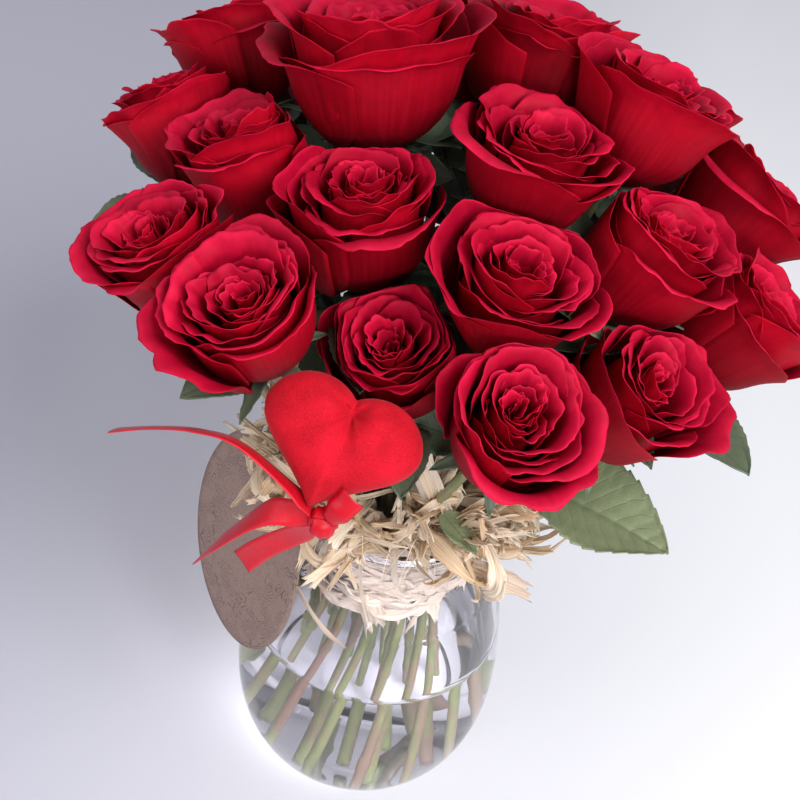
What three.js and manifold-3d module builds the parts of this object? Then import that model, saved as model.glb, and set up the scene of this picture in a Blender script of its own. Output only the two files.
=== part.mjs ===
// A hand-tied bunch of red roses in a round glass vase, with a raffia collar at the neck, a stuffed
// heart pick with a satin ribbon, and an oval card. Millimetres, +Z up. The vase stands on z = 0 and
// its axis is the Z axis. The front of the arrangement faces -Y.

import * as THREE from 'three';
import { mergeVertices } from 'three/addons/utils/BufferGeometryUtils.js';
import Module from 'manifold-3d';

const wasm = await Module();
wasm.setup();

// Clearance between touching pieces.
const gap = 0.3;

// Vase.
const vaseHeight = 204;
const baseRadius = 45;
const bowlRadius = 75;
const bowlHeight = 62;
const neckRadius = 48.5;
const neckDrop = 12;
const rimRadius = 50.5;
const vaseWall = 2.6;
const floorThickness = 8;
const shoulderFullness = 1.8;
const vaseSides = 36;

// Water, filled to a little above the widest part of the bowl.
const waterLevel = 111;

// Stems: three nested rings that are narrowest at the neck and spread again to the vase floor.
const stemRadius = 2.6;
const stemSides = 6;
const stemSteps = 8;
const bundleRings = { inner: 6, middle: 14.5, outer: 25 };
const footRings = { inner: 13, middle: 29, outer: 47 };
const bundleTwist = 32;

// Rose heads. Places are in units of the spacing between neighbouring heads.
const headSpacing = 57;
const headDepthRatio = 1.5;
const calyxRadius = 4.5;

// Each rose: direction round the vase in degrees, reach from its axis and height above its rim in
// head spacings, head size as a share of the spacing, and the ring of the bunch that its stem is in.
const roses = [
  { azimuth: -67, reach: 1.76, lift: 2.56, size: 1.0, ring: 'outer' },
  { azimuth: -103, reach: 1.04, lift: 2.56, size: 0.96, ring: 'middle' },
  { azimuth: -133, reach: 1.92, lift: 2.95, size: 0.94, ring: 'outer' },
  { azimuth: -28, reach: 1.84, lift: 2.42, size: 1.03, ring: 'outer' },
  { azimuth: -51, reach: 0.86, lift: 3.04, size: 1.03, ring: 'inner' },
  { azimuth: -160, reach: 2.13, lift: 2.86, size: 0.92, ring: 'outer' },
  { azimuth: 0, reach: 1.53, lift: 3.04, size: 1.05, ring: 'middle' },
  { azimuth: -160, reach: 0.73, lift: 3.09, size: 1.08, ring: 'inner' },
  { azimuth: 173, reach: 1.68, lift: 3.11, size: 1.0, ring: 'middle' },
  { azimuth: 158, reach: 2.59, lift: 2.86, size: 0.88, ring: 'outer' },
  { azimuth: 26, reach: 0.64, lift: 3.54, size: 0.98, ring: 'inner' },
  { azimuth: 139, reach: 2.69, lift: 3.16, size: 0.92, ring: 'outer' },
  { azimuth: 136, reach: 1.16, lift: 3.77, size: 1.2, ring: 'middle' },
  { azimuth: 71, reach: 1.64, lift: 3.68, size: 1.0, ring: 'middle' },
  { azimuth: 33, reach: 1.6, lift: 3.75, size: 0.98, ring: 'middle' },
  { azimuth: 96, reach: 2.02, lift: 3.19, size: 0.94, ring: 'outer' },
  { azimuth: 116, reach: 2.66, lift: 2.84, size: 1.1, ring: 'outer' },
  { azimuth: 74, reach: 2.72, lift: 2.88, size: 1.08, ring: 'outer' },
  { azimuth: 51, reach: 2.6, lift: 2.98, size: 1.08, ring: 'outer' },
  { azimuth: 28, reach: 2.72, lift: 2.77, size: 1.05, ring: 'outer' },
  { azimuth: 4, reach: 2.44, lift: 2.46, size: 1.05, ring: 'outer' },
];

// Raffia nest between the stems and the neck, left open at the back.
const nestBottom = 150;
const nestTopRise = 20;
const nestOverhang = 12;
const nestClearance = 1;
const nestOpening = 22;

// Leaves on the stems: which rose, how far up its stem, and how the leaf lies.
const leafThickness = 0.8;
const leaves = [
  { rose: 4, along: 0.8, azimuth: -22, rise: 4, length: 74, width: 50 },
  { rose: 1, along: 0.74, azimuth: -42, rise: -6, length: 50, width: 30 },
  { rose: 12, along: 0.82, azimuth: 150, rise: 12, length: 60, width: 38 },
  { rose: 21, along: 0.82, azimuth: 8, rise: 2, length: 64, width: 42 },
  { rose: 18, along: 0.8, azimuth: 72, rise: 0, length: 66, width: 44 },
  { rose: 17, along: 0.8, azimuth: 112, rise: 6, length: 62, width: 40 },
];

// Stuffed heart on a stick.
const heartWidth = 58;
const heartHeight = 52;
const heartDepth = 22;
const heartAzimuth = -104;
const heartReach = 116;
const heartRise = 140;
const heartTilt = 42;
const stickRadius = 1.5;

// Satin ribbon: a knot under the heart and three tails that trail to the left. Each tail passes
// through its points, measured from the knot's centre.
const ribbonWidth = 11;
const ribbonThickness = 0.8;
const knotRadius = 6;
const tailPaths = [
  [[-15, 4, 12], [-36, 8, 26], [-54, 16, 21], [-73, 26, 8], [-92, 34, -6]],
  [[-21, 4, -4], [-39, 8, -29], [-53, 14, -57]],
  [[-14, 6, -20], [-24, 8, -32], [-32, 11, -46]],
];

// Oval card that leans against the vase: the way it faces, how far it is shifted sideways, and its lean.
const cardWidth = 94;
const cardHeight = 138;
const cardThickness = 0.8;
const cardAzimuth = -138;
const cardShift = 31;
const cardCentreHeight = 168;
const cardLean = 8;

const axisZ = new THREE.Vector3(0, 0, 1);
const radians = THREE.MathUtils.degToRad;

const clear = { transparent: true };
const materials = {
  petal: new THREE.MeshStandardMaterial({ color: 0xc01432, roughness: 0.75 }),
  stem: new THREE.MeshStandardMaterial({ color: 0x5c7a3c, roughness: 0.6 }),
  leaf: new THREE.MeshStandardMaterial({ color: 0x6f8a66, roughness: 0.65 }),
  glass: new THREE.MeshStandardMaterial({ ...clear, color: 0xe6eef2, roughness: 0.04, opacity: 0.35 }),
  water: new THREE.MeshStandardMaterial({ ...clear, color: 0xdfe9ea, roughness: 0.02, opacity: 0.3 }),
  raffia: new THREE.MeshStandardMaterial({ color: 0xe0cba6, roughness: 0.85 }),
  velvet: new THREE.MeshStandardMaterial({ color: 0xe01c30, roughness: 0.95 }),
  satin: new THREE.MeshStandardMaterial({ color: 0xe4283c, roughness: 0.35 }),
  stick: new THREE.MeshStandardMaterial({ color: 0xc8a878, roughness: 0.7 }),
  card: new THREE.MeshStandardMaterial({ color: 0x967a70, roughness: 0.9 }),
};

const object = new THREE.Group();

function addMesh(name, geometry, material) {
  const mesh = new THREE.Mesh(geometry, material);
  mesh.name = name;
  object.add(mesh);
  return mesh;
}

function polar(radius, azimuth, z) {
  const angle = radians(azimuth);
  return new THREE.Vector3(radius * Math.cos(angle), radius * Math.sin(angle), z);
}

// ---- closed meshes to manifold solids and back ----

function toSolid(geometry) {
  const plain = geometry.clone();
  plain.deleteAttribute('normal');
  plain.deleteAttribute('uv');
  const merged = mergeVertices(plain, 1e-4);
  const positions = merged.attributes.position.array;
  const indices = Array.from(merged.index.array);
  const kept = [];
  for (let i = 0; i < indices.length; i += 3) {
    const [a, b, c] = indices.slice(i, i + 3);
    if (a !== b && b !== c && c !== a) kept.push(a, b, c);
  }
  const mesh = new wasm.Mesh({
    numProp: 3,
    vertProperties: new Float32Array(positions),
    triVerts: new Uint32Array(kept),
  });
  return new wasm.Manifold(mesh);
}

function toGeometry(solid) {
  const mesh = solid.getMesh();
  const geometry = new THREE.BufferGeometry();
  geometry.setAttribute('position', new THREE.BufferAttribute(new Float32Array(mesh.vertProperties), 3));
  geometry.setIndex(Array.from(mesh.triVerts));
  geometry.computeVertexNormals();
  return geometry;
}

// A profile of [radius, height] points turned round the Z axis.
function turned(profile, sides) {
  const points = profile.map(([radius, height]) => new THREE.Vector2(radius, height));
  return new THREE.LatheGeometry(points, sides).rotateX(Math.PI / 2);
}

// ---- vase and water ----

const neckHeight = vaseHeight - neckDrop;

function vaseOuterRadius(z) {
  if (z < bowlHeight) {
    const below = 1 - z / bowlHeight;
    return baseRadius + (bowlRadius - baseRadius) * Math.sqrt(1 - below * below);
  }
  if (z < neckHeight) {
    const above = (z - bowlHeight) / (neckHeight - bowlHeight);
    return neckRadius + (bowlRadius - neckRadius) * (1 - above ** shoulderFullness);
  }
  const lip = Math.min(1, (z - neckHeight) / neckDrop);
  return neckRadius + (rimRadius - neckRadius) * lip * lip;
}

function vaseInnerRadius(z) {
  return vaseOuterRadius(z) - vaseWall;
}

// Heights spread over a stretch of the vase, ends included.
function heights(from, to, count) {
  return Array.from({ length: count }, (_, i) => from + ((to - from) * i) / (count - 1));
}

// The heights of the vase's facets. The water and the raffia nest use the same ones, so that they
// follow the wall exactly.
function vaseLevels() {
  const bowl = [0, 0.05, 0.2, 0.45, 0.72].map((share) => share * bowlHeight);
  const shoulder = heights(bowlHeight, neckHeight, 8);
  const all = [...bowl, ...shoulder, waterLevel, nestBottom, vaseHeight - neckDrop / 2];
  return all.sort((a, b) => a - b);
}

function glassVase() {
  const lipHalf = vaseWall / 2;
  const outer = vaseLevels().map((z) => [vaseOuterRadius(z), z]);
  const inner = vaseLevels().filter((z) => z > floorThickness + 4).map((z) => [vaseInnerRadius(z), z]);
  const rim = [
    [rimRadius, vaseHeight - lipHalf],
    [rimRadius - lipHalf, vaseHeight],
    [rimRadius - vaseWall, vaseHeight - lipHalf],
  ];
  const floor = [[vaseInnerRadius(floorThickness), floorThickness], [0, floorThickness]];
  return turned([[0, 0], ...outer, ...rim, ...inner.reverse(), ...floor], vaseSides);
}

function waterBody() {
  const levels = vaseLevels().filter((z) => z > floorThickness + 4 && z <= waterLevel);
  const side = levels.map((z) => [vaseInnerRadius(z) - gap, z]);
  const bottom = floorThickness + gap;
  const profile = [[0, bottom], [vaseInnerRadius(floorThickness) - gap, bottom], ...side, [0, waterLevel]];
  let solid = toSolid(turned(profile, vaseSides));
  roses.forEach((rose, i) => {
    const curve = stemCurves[i];
    const hole = stemGeometry(curve, stemRadius + gap);
    solid = solid.subtract(toSolid(hole)).subtract(toSolid(footHole(curve.getPointAt(0))));
  });
  return toGeometry(solid);
}

// Clears the water from under a stem's foot, down through the water's underside.
function footHole(foot) {
  const radius = stemRadius + 2 * gap;
  const hole = new THREE.CylinderGeometry(radius, radius, 2 * stemRadius, 10).rotateX(Math.PI / 2);
  return hole.translate(foot.x, foot.y, floorThickness);
}

// ---- roses ----

function headCentre(rose) {
  return polar(rose.reach * headSpacing, rose.azimuth, vaseHeight + rose.lift * headSpacing);
}

function headRadius(rose) {
  return (rose.size * headSpacing) / 2;
}

// Where each stem stands in its ring at the neck: the ring's stems are spread evenly in the order of
// their heads, so that no two cross.
function ringAzimuth(index) {
  const ring = roses[index].ring;
  const turn = (rose) => ((rose.azimuth % 360) + 360) % 360;
  const members = roses.filter((rose) => rose.ring === ring).sort((a, b) => turn(a) - turn(b));
  const step = 360 / members.length;
  const drift = members.reduce((sum, rose, place) => sum + turn(rose) - place * step, 0) / members.length;
  return members.indexOf(roses[index]) * step + drift;
}

function neckPoint(index) {
  return polar(bundleRings[roses[index].ring], ringAzimuth(index), neckHeight);
}

function headDirection(index) {
  return headCentre(roses[index]).sub(neckPoint(index)).normalize();
}

function headBase(index) {
  const rose = roses[index];
  const depth = headRadius(rose) * headDepthRatio;
  return headCentre(rose).addScaledVector(headDirection(index), -depth / 2);
}

// A stem's centre line, from its foot up to the head. It turns about the vase axis below the neck.
function stemCurve(index, footHeight) {
  const ring = roses[index].ring;
  const azimuth = ringAzimuth(index);
  const below = heights(footHeight, neckHeight, 4).slice(0, 3).map((z) => {
    const share = (neckHeight - z) / (neckHeight - footHeight);
    const radius = bundleRings[ring] + (footRings[ring] - bundleRings[ring]) * share ** 1.2;
    return polar(radius, azimuth - bundleTwist * share, z);
  });
  const top = headBase(index).addScaledVector(headDirection(index), -gap);
  const neck = neckPoint(index);
  const above = [0.5, 0.8].map((share) => neck.clone().lerp(top, share));
  return new THREE.CatmullRomCurve3([...below, neck, ...above, top], false, 'centripetal');
}

function stemGeometry(curve, radius, steps = stemSteps) {
  const section = new THREE.Shape();
  section.absarc(0, 0, radius, 0, 2 * Math.PI, false);
  return new THREE.ExtrudeGeometry(section, {
    steps,
    curveSegments: stemSides / 2,
    extrudePath: curve,
    bevelEnabled: false,
  });
}

// The foot's end face is square to the stem, so a leaning stem starts a little higher.
function footHeight(index) {
  const lean = stemCurve(index, floorThickness + gap).getTangentAt(0);
  return floorThickness + gap + stemRadius * Math.hypot(lean.x, lean.y);
}

const stemCurves = roses.map((rose, i) => stemCurve(i, footHeight(i)));

// The stem as it is built, in straight facets. Returns the point and direction at a share of its length.
function alongFacets(curve, share) {
  const ends = curve.getSpacedPoints(stemSteps);
  const facet = Math.min(Math.floor(share * stemSteps), stemSteps - 1);
  const direction = ends[facet + 1].clone().sub(ends[facet]).normalize();
  const point = ends[facet].clone().lerp(ends[facet + 1], share * stemSteps - facet);
  return { point, direction };
}

function bloomGeometry(rose) {
  const radius = headRadius(rose);
  const depth = radius * headDepthRatio;
  const profile = [
    [0, 0],
    [calyxRadius, 0],
    [0.66 * radius, 0.2 * depth],
    [0.97 * radius, 0.48 * depth],
    [0.95 * radius, 0.74 * depth],
    [0.6 * radius, 0.96 * depth],
    [0, depth],
  ];
  return turned(profile, 12);
}

function addRose(rose, index) {
  const label = `rose_${String(index + 1).padStart(2, '0')}`;
  const stem = stemGeometry(stemCurves[index], stemRadius);
  addMesh(`${label}_stem`, stem, materials.stem);
  const bloom = addMesh(`${label}_bloom`, bloomGeometry(rose), materials.petal);
  bloom.position.copy(headBase(index));
  bloom.quaternion.setFromUnitVectors(axisZ, headDirection(index));
}

// ---- raffia nest ----

// The widest that any stem reaches from the axis near a height.
function bundleReach(z) {
  const nearHeight = (point) => Math.abs(point.z - z) < 2 * stemRadius;
  const shares = heights(0, 1, 80);
  const sampled = (curve) => shares.map((share) => alongFacets(curve, share).point);
  const places = stemCurves.flatMap((curve) => sampled(curve).filter(nearHeight));
  return Math.max(...places.map((point) => Math.hypot(point.x, point.y))) + stemRadius;
}

function raffiaNest() {
  const top = vaseHeight + nestTopRise;
  const inner = [nestBottom, ...heights(neckHeight, top, 4)].map((z) => [bundleReach(z) + nestClearance, z]);
  const levels = vaseLevels().filter((z) => z >= nestBottom);
  const outer = levels.map((z) => [vaseInnerRadius(z) - gap, z]);
  const overRim = [
    [rimRadius - vaseWall - gap, vaseHeight - vaseWall / 2],
    [rimRadius - vaseWall - gap, vaseHeight + 2 * gap],
    [rimRadius + nestOverhang, vaseHeight + nestTopRise / 4],
    [rimRadius + nestOverhang, top],
  ];
  const profile = [inner[0], ...outer, ...overRim, ...inner.reverse()];
  const ring = toSolid(turned(profile, vaseSides));
  const reach = bowlRadius * 2;
  const cutter = new THREE.BoxGeometry(nestOpening, reach, vaseHeight * 2);
  return toGeometry(ring.subtract(toSolid(cutter.translate(0, reach / 2, vaseHeight))));
}

// ---- leaves ----

function leafOutline(length, width) {
  const outline = new THREE.Shape();
  outline.moveTo(0, 0);
  outline.bezierCurveTo(width * 0.5, length * 0.12, width * 0.72, length * 0.62, 0, length);
  outline.bezierCurveTo(-width * 0.72, length * 0.62, -width * 0.5, length * 0.12, 0, 0);
  return outline;
}

// A leaf lies along its direction, face up, with its foot just clear of the stem.
function addLeaf(leaf, index) {
  const along = polar(Math.cos(radians(leaf.rise)), leaf.azimuth, Math.sin(radians(leaf.rise)));
  const side = new THREE.Vector3().crossVectors(along, axisZ).normalize();
  const face = new THREE.Vector3().crossVectors(side, along);
  const geometry = new THREE.ExtrudeGeometry(leafOutline(leaf.length, leaf.width), {
    depth: leafThickness,
    curveSegments: 6,
    bevelEnabled: false,
  });
  const { point, direction } = alongFacets(stemCurves[leaf.rose - 1], leaf.along);
  const angle = direction.angleTo(along);
  const clear = stemRadius + gap + leafThickness * Math.abs(Math.cos(angle));
  const foot = point.addScaledVector(along, clear / Math.sin(angle));
  const mesh = addMesh(`leaf_${index + 1}`, geometry, materials.leaf);
  mesh.position.copy(foot);
  mesh.quaternion.setFromRotationMatrix(new THREE.Matrix4().makeBasis(side, along, face));
}

// ---- heart pick, ribbon and card ----

const heartCentre = polar(heartReach, heartAzimuth, vaseHeight + heartRise);
const heartUp = new THREE.Vector3(0, Math.sin(radians(heartTilt)), Math.cos(radians(heartTilt)));
const heartFace = new THREE.Vector3(1, 0, 0).cross(heartUp);
const knotCentre = heartCentre.clone().addScaledVector(heartUp, -(heartHeight / 2 + knotRadius + gap));

// The heart's outline, with its cleft at the top and its tip at the bottom. Both sides are alike.
function heartOutline() {
  const half = heartWidth / 2;
  const high = heartHeight * 0.56;
  const waist = heartHeight * 0.14;
  const cleft = heartHeight * 0.3;
  const low = -heartHeight * 0.32;
  const tip = -heartHeight / 2;
  const outline = new THREE.Shape();
  outline.moveTo(0, cleft);
  outline.bezierCurveTo(half * 0.3, high, half, high, half, waist);
  outline.bezierCurveTo(half, -waist, half * 0.45, low, 0, tip);
  outline.bezierCurveTo(-half * 0.45, low, -half, -waist, -half, waist);
  outline.bezierCurveTo(-half, high, -half * 0.3, high, 0, cleft);
  return outline;
}

// The heart stands up and leans back, so that its face looks forwards and upwards.
function addHeart() {
  const puff = heartDepth * 0.4;
  const geometry = new THREE.ExtrudeGeometry(heartOutline(), {
    depth: heartDepth - 2 * puff,
    curveSegments: 5,
    bevelThickness: puff,
    bevelSize: puff * 0.8,
    bevelOffset: -puff * 0.8,
    bevelSegments: 2,
  });
  const mesh = addMesh('heart', geometry.translate(0, 0, puff - heartDepth / 2), materials.velvet);
  mesh.position.copy(heartCentre);
  mesh.rotation.x = radians(90 - heartTilt);
}

// A stick from the middle of the heart's back down to the top of the raffia nest.
function addHeartStick() {
  const top = heartCentre.clone().addScaledVector(heartFace, -(heartDepth / 2 + gap));
  const footRadius = rimRadius + nestOverhang / 2;
  const foot = polar(footRadius, heartAzimuth, vaseHeight + nestTopRise + gap);
  const lean = top.clone().sub(foot).normalize();
  foot.z += stickRadius * Math.hypot(lean.x, lean.y);
  top.addScaledVector(lean, -stickRadius * Math.tan(lean.angleTo(heartFace)));
  const stick = stemGeometry(new THREE.LineCurve3(foot, top), stickRadius, 1);
  addMesh('heart_stick', stick, materials.stick);
}

function addRibbon() {
  const knot = addMesh('ribbon_knot', new THREE.SphereGeometry(knotRadius, 12, 8), materials.satin);
  knot.position.copy(knotCentre);
  const halfWidth = ribbonWidth / 2;
  const halfThickness = ribbonThickness / 2;
  const section = new THREE.Shape();
  section.moveTo(-halfThickness, -halfWidth);
  section.lineTo(halfThickness, -halfWidth);
  section.lineTo(halfThickness, halfWidth);
  section.lineTo(-halfThickness, halfWidth);
  tailPaths.forEach((path, i) => {
    const points = path.map((point) => new THREE.Vector3(...point));
    const start = points[0].clone().setLength(knotRadius + gap);
    const curve = new THREE.CatmullRomCurve3([start, ...points]);
    const options = { steps: 4 * path.length, extrudePath: curve, bevelEnabled: false };
    const strip = new THREE.ExtrudeGeometry(section, options);
    addMesh(`ribbon_tail_${i + 1}`, strip, materials.satin).position.copy(knotCentre);
  });
}

// The largest radius of the vase and the raffia at a height, and none above them.
function reachBehindCard(z) {
  if (z <= vaseHeight) return vaseOuterRadius(z);
  return z <= vaseHeight + nestTopRise ? rimRadius + nestOverhang : 0;
}

// How far the middle of the card's back is from the vase axis, so that the leaning card just clears what
// is behind it. Every point of a grid over the card is tried.
function cardDistance() {
  const lean = radians(cardLean);
  const distances = [];
  for (const across of heights(-1, 1, 33)) {
    for (const along of heights(-1, 1, 33)) {
      const y = (along * cardHeight * Math.sqrt(1 - across * across)) / 2;
      const sideways = (across * cardWidth) / 2 - cardShift;
      const behind = reachBehindCard(cardCentreHeight + y * Math.cos(lean));
      if (behind === 0) continue;
      const reach = behind + gap;
      const flat = Math.sqrt(Math.max(0, reach * reach - sideways * sideways));
      distances.push(flat + y * Math.sin(lean));
    }
  }
  return Math.max(...distances);
}

// The card stands with its back to the vase and its top leaning in.
function addCard() {
  const outline = new THREE.Shape();
  outline.absellipse(0, 0, cardWidth / 2, cardHeight / 2, 0, 2 * Math.PI);
  const options = { depth: cardThickness, curveSegments: 20, bevelEnabled: false };
  const card = addMesh('gift_card', new THREE.ExtrudeGeometry(outline, options), materials.card);
  const outwards = polar(1, cardAzimuth, 0);
  const sideways = new THREE.Vector3().crossVectors(axisZ, outwards);
  card.position.copy(outwards).multiplyScalar(cardDistance()).addScaledVector(sideways, -cardShift);
  card.position.z = cardCentreHeight;
  const upright = new THREE.Matrix4().makeBasis(sideways, axisZ, outwards);
  card.quaternion.setFromRotationMatrix(upright);
  card.rotateX(-radians(cardLean));
}

addMesh('glass_vase', glassVase(), materials.glass);
addMesh('water', waterBody(), materials.water);
roses.forEach(addRose);
addMesh('raffia_nest', raffiaNest(), materials.raffia);
leaves.forEach(addLeaf);
addHeart();
addHeartStick();
addRibbon();
addCard();

export default object;
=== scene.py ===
"""Roses in a round glass vase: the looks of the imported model. Metres, +Z up, front towards -Y."""
import math
import random

import bpy
import numpy as np
from mathutils import Matrix, Vector


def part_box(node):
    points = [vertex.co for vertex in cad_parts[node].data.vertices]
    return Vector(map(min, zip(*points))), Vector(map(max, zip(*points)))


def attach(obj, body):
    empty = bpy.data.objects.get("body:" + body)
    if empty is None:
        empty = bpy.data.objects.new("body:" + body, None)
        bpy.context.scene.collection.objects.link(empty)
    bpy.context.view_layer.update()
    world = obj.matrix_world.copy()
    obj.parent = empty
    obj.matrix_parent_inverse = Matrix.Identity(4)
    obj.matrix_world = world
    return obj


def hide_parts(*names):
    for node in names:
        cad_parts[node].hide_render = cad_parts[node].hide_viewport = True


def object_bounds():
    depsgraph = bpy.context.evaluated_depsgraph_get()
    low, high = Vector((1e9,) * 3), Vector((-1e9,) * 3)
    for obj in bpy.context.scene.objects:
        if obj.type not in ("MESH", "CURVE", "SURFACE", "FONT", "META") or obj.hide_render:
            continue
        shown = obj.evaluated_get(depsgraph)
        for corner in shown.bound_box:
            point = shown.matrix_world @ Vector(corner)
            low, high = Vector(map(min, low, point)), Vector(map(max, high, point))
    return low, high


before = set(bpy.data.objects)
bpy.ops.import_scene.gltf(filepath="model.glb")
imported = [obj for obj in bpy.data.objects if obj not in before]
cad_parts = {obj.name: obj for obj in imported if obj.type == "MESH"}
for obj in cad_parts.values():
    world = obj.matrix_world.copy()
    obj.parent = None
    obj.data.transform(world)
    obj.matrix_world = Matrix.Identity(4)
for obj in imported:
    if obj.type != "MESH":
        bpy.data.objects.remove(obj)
cad_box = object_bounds()

MM = 0.001
TINY = 1e-12  # keeps a vector of no length from being divided by nothing
FULL = (1.0, 1.0, 1.0, 1.0)
HALF = (0.5, 0.5, 0.5, 0.5)
GOLDEN_TURN = 137.5  # degrees from each leaf or petal to the next


# ---------------------------------------------------------------- camera

CAMERA_PLACE = (-0.0073, -0.4814, 0.7150)
CAMERA_DIP = 43.0  # degrees below level
CAMERA_ROLL = 10.4  # degrees
LENS = 60.75  # mm, on a sensor 36 mm wide
SENSOR = 36


def add_camera():
    """The photo's view: from the front and above, rolled."""
    dip = math.radians(CAMERA_DIP)
    roll = math.radians(CAMERA_ROLL)
    ahead = Vector((0, math.cos(dip), -math.sin(dip)))
    level_up = Vector((0, math.sin(dip), math.cos(dip)))
    level_right = Vector((1, 0, 0))
    right = math.cos(roll) * level_right + math.sin(roll) * level_up
    up = -math.sin(roll) * level_right + math.cos(roll) * level_up
    data = bpy.data.cameras.new("camera")
    data.lens = LENS
    data.sensor_width = SENSOR
    camera = bpy.data.objects.new("camera", data)
    bpy.context.collection.objects.link(camera)
    turn = Matrix((right, up, -ahead)).transposed().to_4x4()
    camera.matrix_world = Matrix.Translation(CAMERA_PLACE) @ turn
    bpy.context.scene.camera = camera


# ---------------------------------------------------------------- meshes


def node_points(name):
    """A CAD node's vertices, in metres."""
    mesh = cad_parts[name].data
    points = np.empty(len(mesh.vertices) * 3)
    mesh.vertices.foreach_get("co", points)
    return points.reshape(-1, 3)


def unit(vector, spare=0.0):
    """A vector at length one. A spare of TINY allows for one of no length."""
    return vector / (np.linalg.norm(vector) + spare)


def unit_rows(vectors, spare=0.0):
    """Many vectors at length one, each along the last axis."""
    return vectors / (np.linalg.norm(vectors, axis=-1, keepdims=True) + spare)


class Soup:
    """Vertices, faces and one colour for each vertex, gathered from many small closed pieces."""

    def __init__(self):
        self.points = []
        self.faces = []
        self.colours = []
        self.count = 0

    def add(self, points, faces, colours):
        """Adds faces of four corners, a triangle with its first one repeated. colours may be one for all."""
        self.points.append(np.asarray(points, float))
        self.faces.append(np.asarray(faces, int) + self.count)
        self.colours.append(np.broadcast_to(np.asarray(colours, float), (len(points), 4)))
        self.count += len(points)

    def build(self, name, material, slot, node=None, move=None):
        """Makes the piece, in place of its CAD node if it has one. slot is not used."""
        points = np.concatenate(self.points)
        if move is not None:
            points = move(points)
        mesh = bpy.data.meshes.new(name)
        faces = [tuple(dict.fromkeys(face)) for group in self.faces for face in group.tolist()]
        mesh.from_pydata(points.tolist(), [], faces)
        layer = mesh.color_attributes.new("paint", "FLOAT_COLOR", "POINT")
        layer.data.foreach_set("color", np.concatenate(self.colours).ravel())
        mesh.shade_smooth()
        piece = bpy.data.objects.new(name, mesh)
        bpy.context.collection.objects.link(piece)
        mesh.materials.append(material)
        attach(piece, "root")
        if node:
            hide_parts(node)
        return piece


def one_piece(name, points, faces, colours, material, slot, node=None, move=None):
    """A piece made of a single part."""
    soup = Soup()
    soup.add(points, faces, colours)
    return soup.build(name, material, slot, node, move)


def grid_faces(rows, columns, start=0):
    """Quads of a grid of points stored row by row."""
    row, column = np.meshgrid(np.arange(rows - 1), np.arange(columns - 1), indexing="ij")
    a = (start + row * columns + column).ravel()
    return np.stack([a, a + 1, a + columns + 1, a + columns], 1)


def grid_border(rows, columns):
    """The grid's edge points, in order round it."""
    bottom = list(range(columns))
    right = [r * columns + columns - 1 for r in range(1, rows)]
    top = [(rows - 1) * columns + c for c in range(columns - 2, -1, -1)]
    left = [r * columns for r in range(rows - 2, 0, -1)]
    return bottom + right + top + left


def shell(grid, thickness):
    """A closed thin skin on both sides of a grid of points (rows, columns, 3)."""
    rows, columns = grid.shape[:2]
    across = np.gradient(grid, axis=1)
    along = np.gradient(grid, axis=0)
    normal = unit_rows(np.cross(across, along), TINY)
    half = np.asarray(thickness)[..., None] / 2 if np.ndim(thickness) else thickness / 2
    front = (grid + normal * half).reshape(-1, 3)
    back = (grid - normal * half).reshape(-1, 3)
    count = rows * columns
    front_faces = grid_faces(rows, columns)
    back_faces = grid_faces(rows, columns, count)[:, ::-1]
    edge = np.array(grid_border(rows, columns))
    following = np.roll(edge, -1)
    rim = np.stack([edge, edge + count, following + count, following], 1)
    return np.concatenate([front, back]), np.concatenate([front_faces, back_faces, rim])


def two_sides(paint, back_first=False):
    """The paint of a skin's two sides, told apart by the fourth channel: 0 in front and 1 behind."""
    sides = [np.hstack([paint, np.full((len(paint), 1), side)]) for side in (0.0, 1.0)]
    return np.concatenate(sides[::-1] if back_first else sides)


def tube(path, radii, sides):
    """A closed tube along a path, each end drawn in to a point. Returns points and faces."""
    path = np.asarray(path, float)
    tangent = unit_rows(np.gradient(path, axis=0))
    start = np.array([1.0, 0, 0]) if abs(tangent[0][0]) < 0.8 else np.array([0, 1.0, 0])
    side = unit(np.cross(tangent[0], start))
    turn = np.linspace(0, 2 * math.pi, sides, endpoint=False)
    rings = []
    for place, ahead, radius in zip(path, tangent, radii):
        side = unit(side - ahead * side.dot(ahead))
        other = np.cross(ahead, side)
        ring = np.cos(turn)[:, None] * side + np.sin(turn)[:, None] * other
        rings.append(place + radius * ring)
    points = np.concatenate([*rings, path[:1], path[-1:]])
    faces = []
    last = len(path) - 1
    for i in range(last):
        for j in range(sides):
            k = (j + 1) % sides
            faces.append((i * sides + j, i * sides + k, (i + 1) * sides + k, (i + 1) * sides + j))
    low, high = len(points) - 2, len(points) - 1
    for j in range(sides):
        k = (j + 1) % sides
        faces.append((low, k, j, low))
        faces.append((high, last * sides + j, last * sides + k, high))
    return points, faces


def smooth_path(points, count):
    """A Catmull-Rom curve through the points, as count points."""
    points = np.asarray(points, float)
    ends = np.vstack([2 * points[0] - points[1], points, 2 * points[-1] - points[-2]])
    at = np.linspace(0, len(points) - 1 - 1e-9, count)
    base = at.astype(int)
    t = (at - base)[:, None]
    a, b, c, d = (ends[base + k] for k in range(4))
    return 0.5 * (2 * b + (c - a) * t + (2 * a - 5 * b + 4 * c - d) * t**2 + (3 * b - a - 3 * c + d) * t**3)


def ease(x):
    """A smooth step from 0 to 1."""
    x = np.clip(x, 0, 1)
    return x * x * (3 - 2 * x)


# ---------------------------------------------------------------- materials


def new_material(name, **sockets):
    """A material with its plain numbers on the Principled shader. Returns it and its node tree."""
    material = bpy.data.materials.new(name)
    material.use_nodes = True
    shader = material.node_tree.nodes["Principled BSDF"]
    for key, value in sockets.items():
        shader.inputs[key.replace("_", " ")].default_value = value
    return material, material.node_tree, shader


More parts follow.
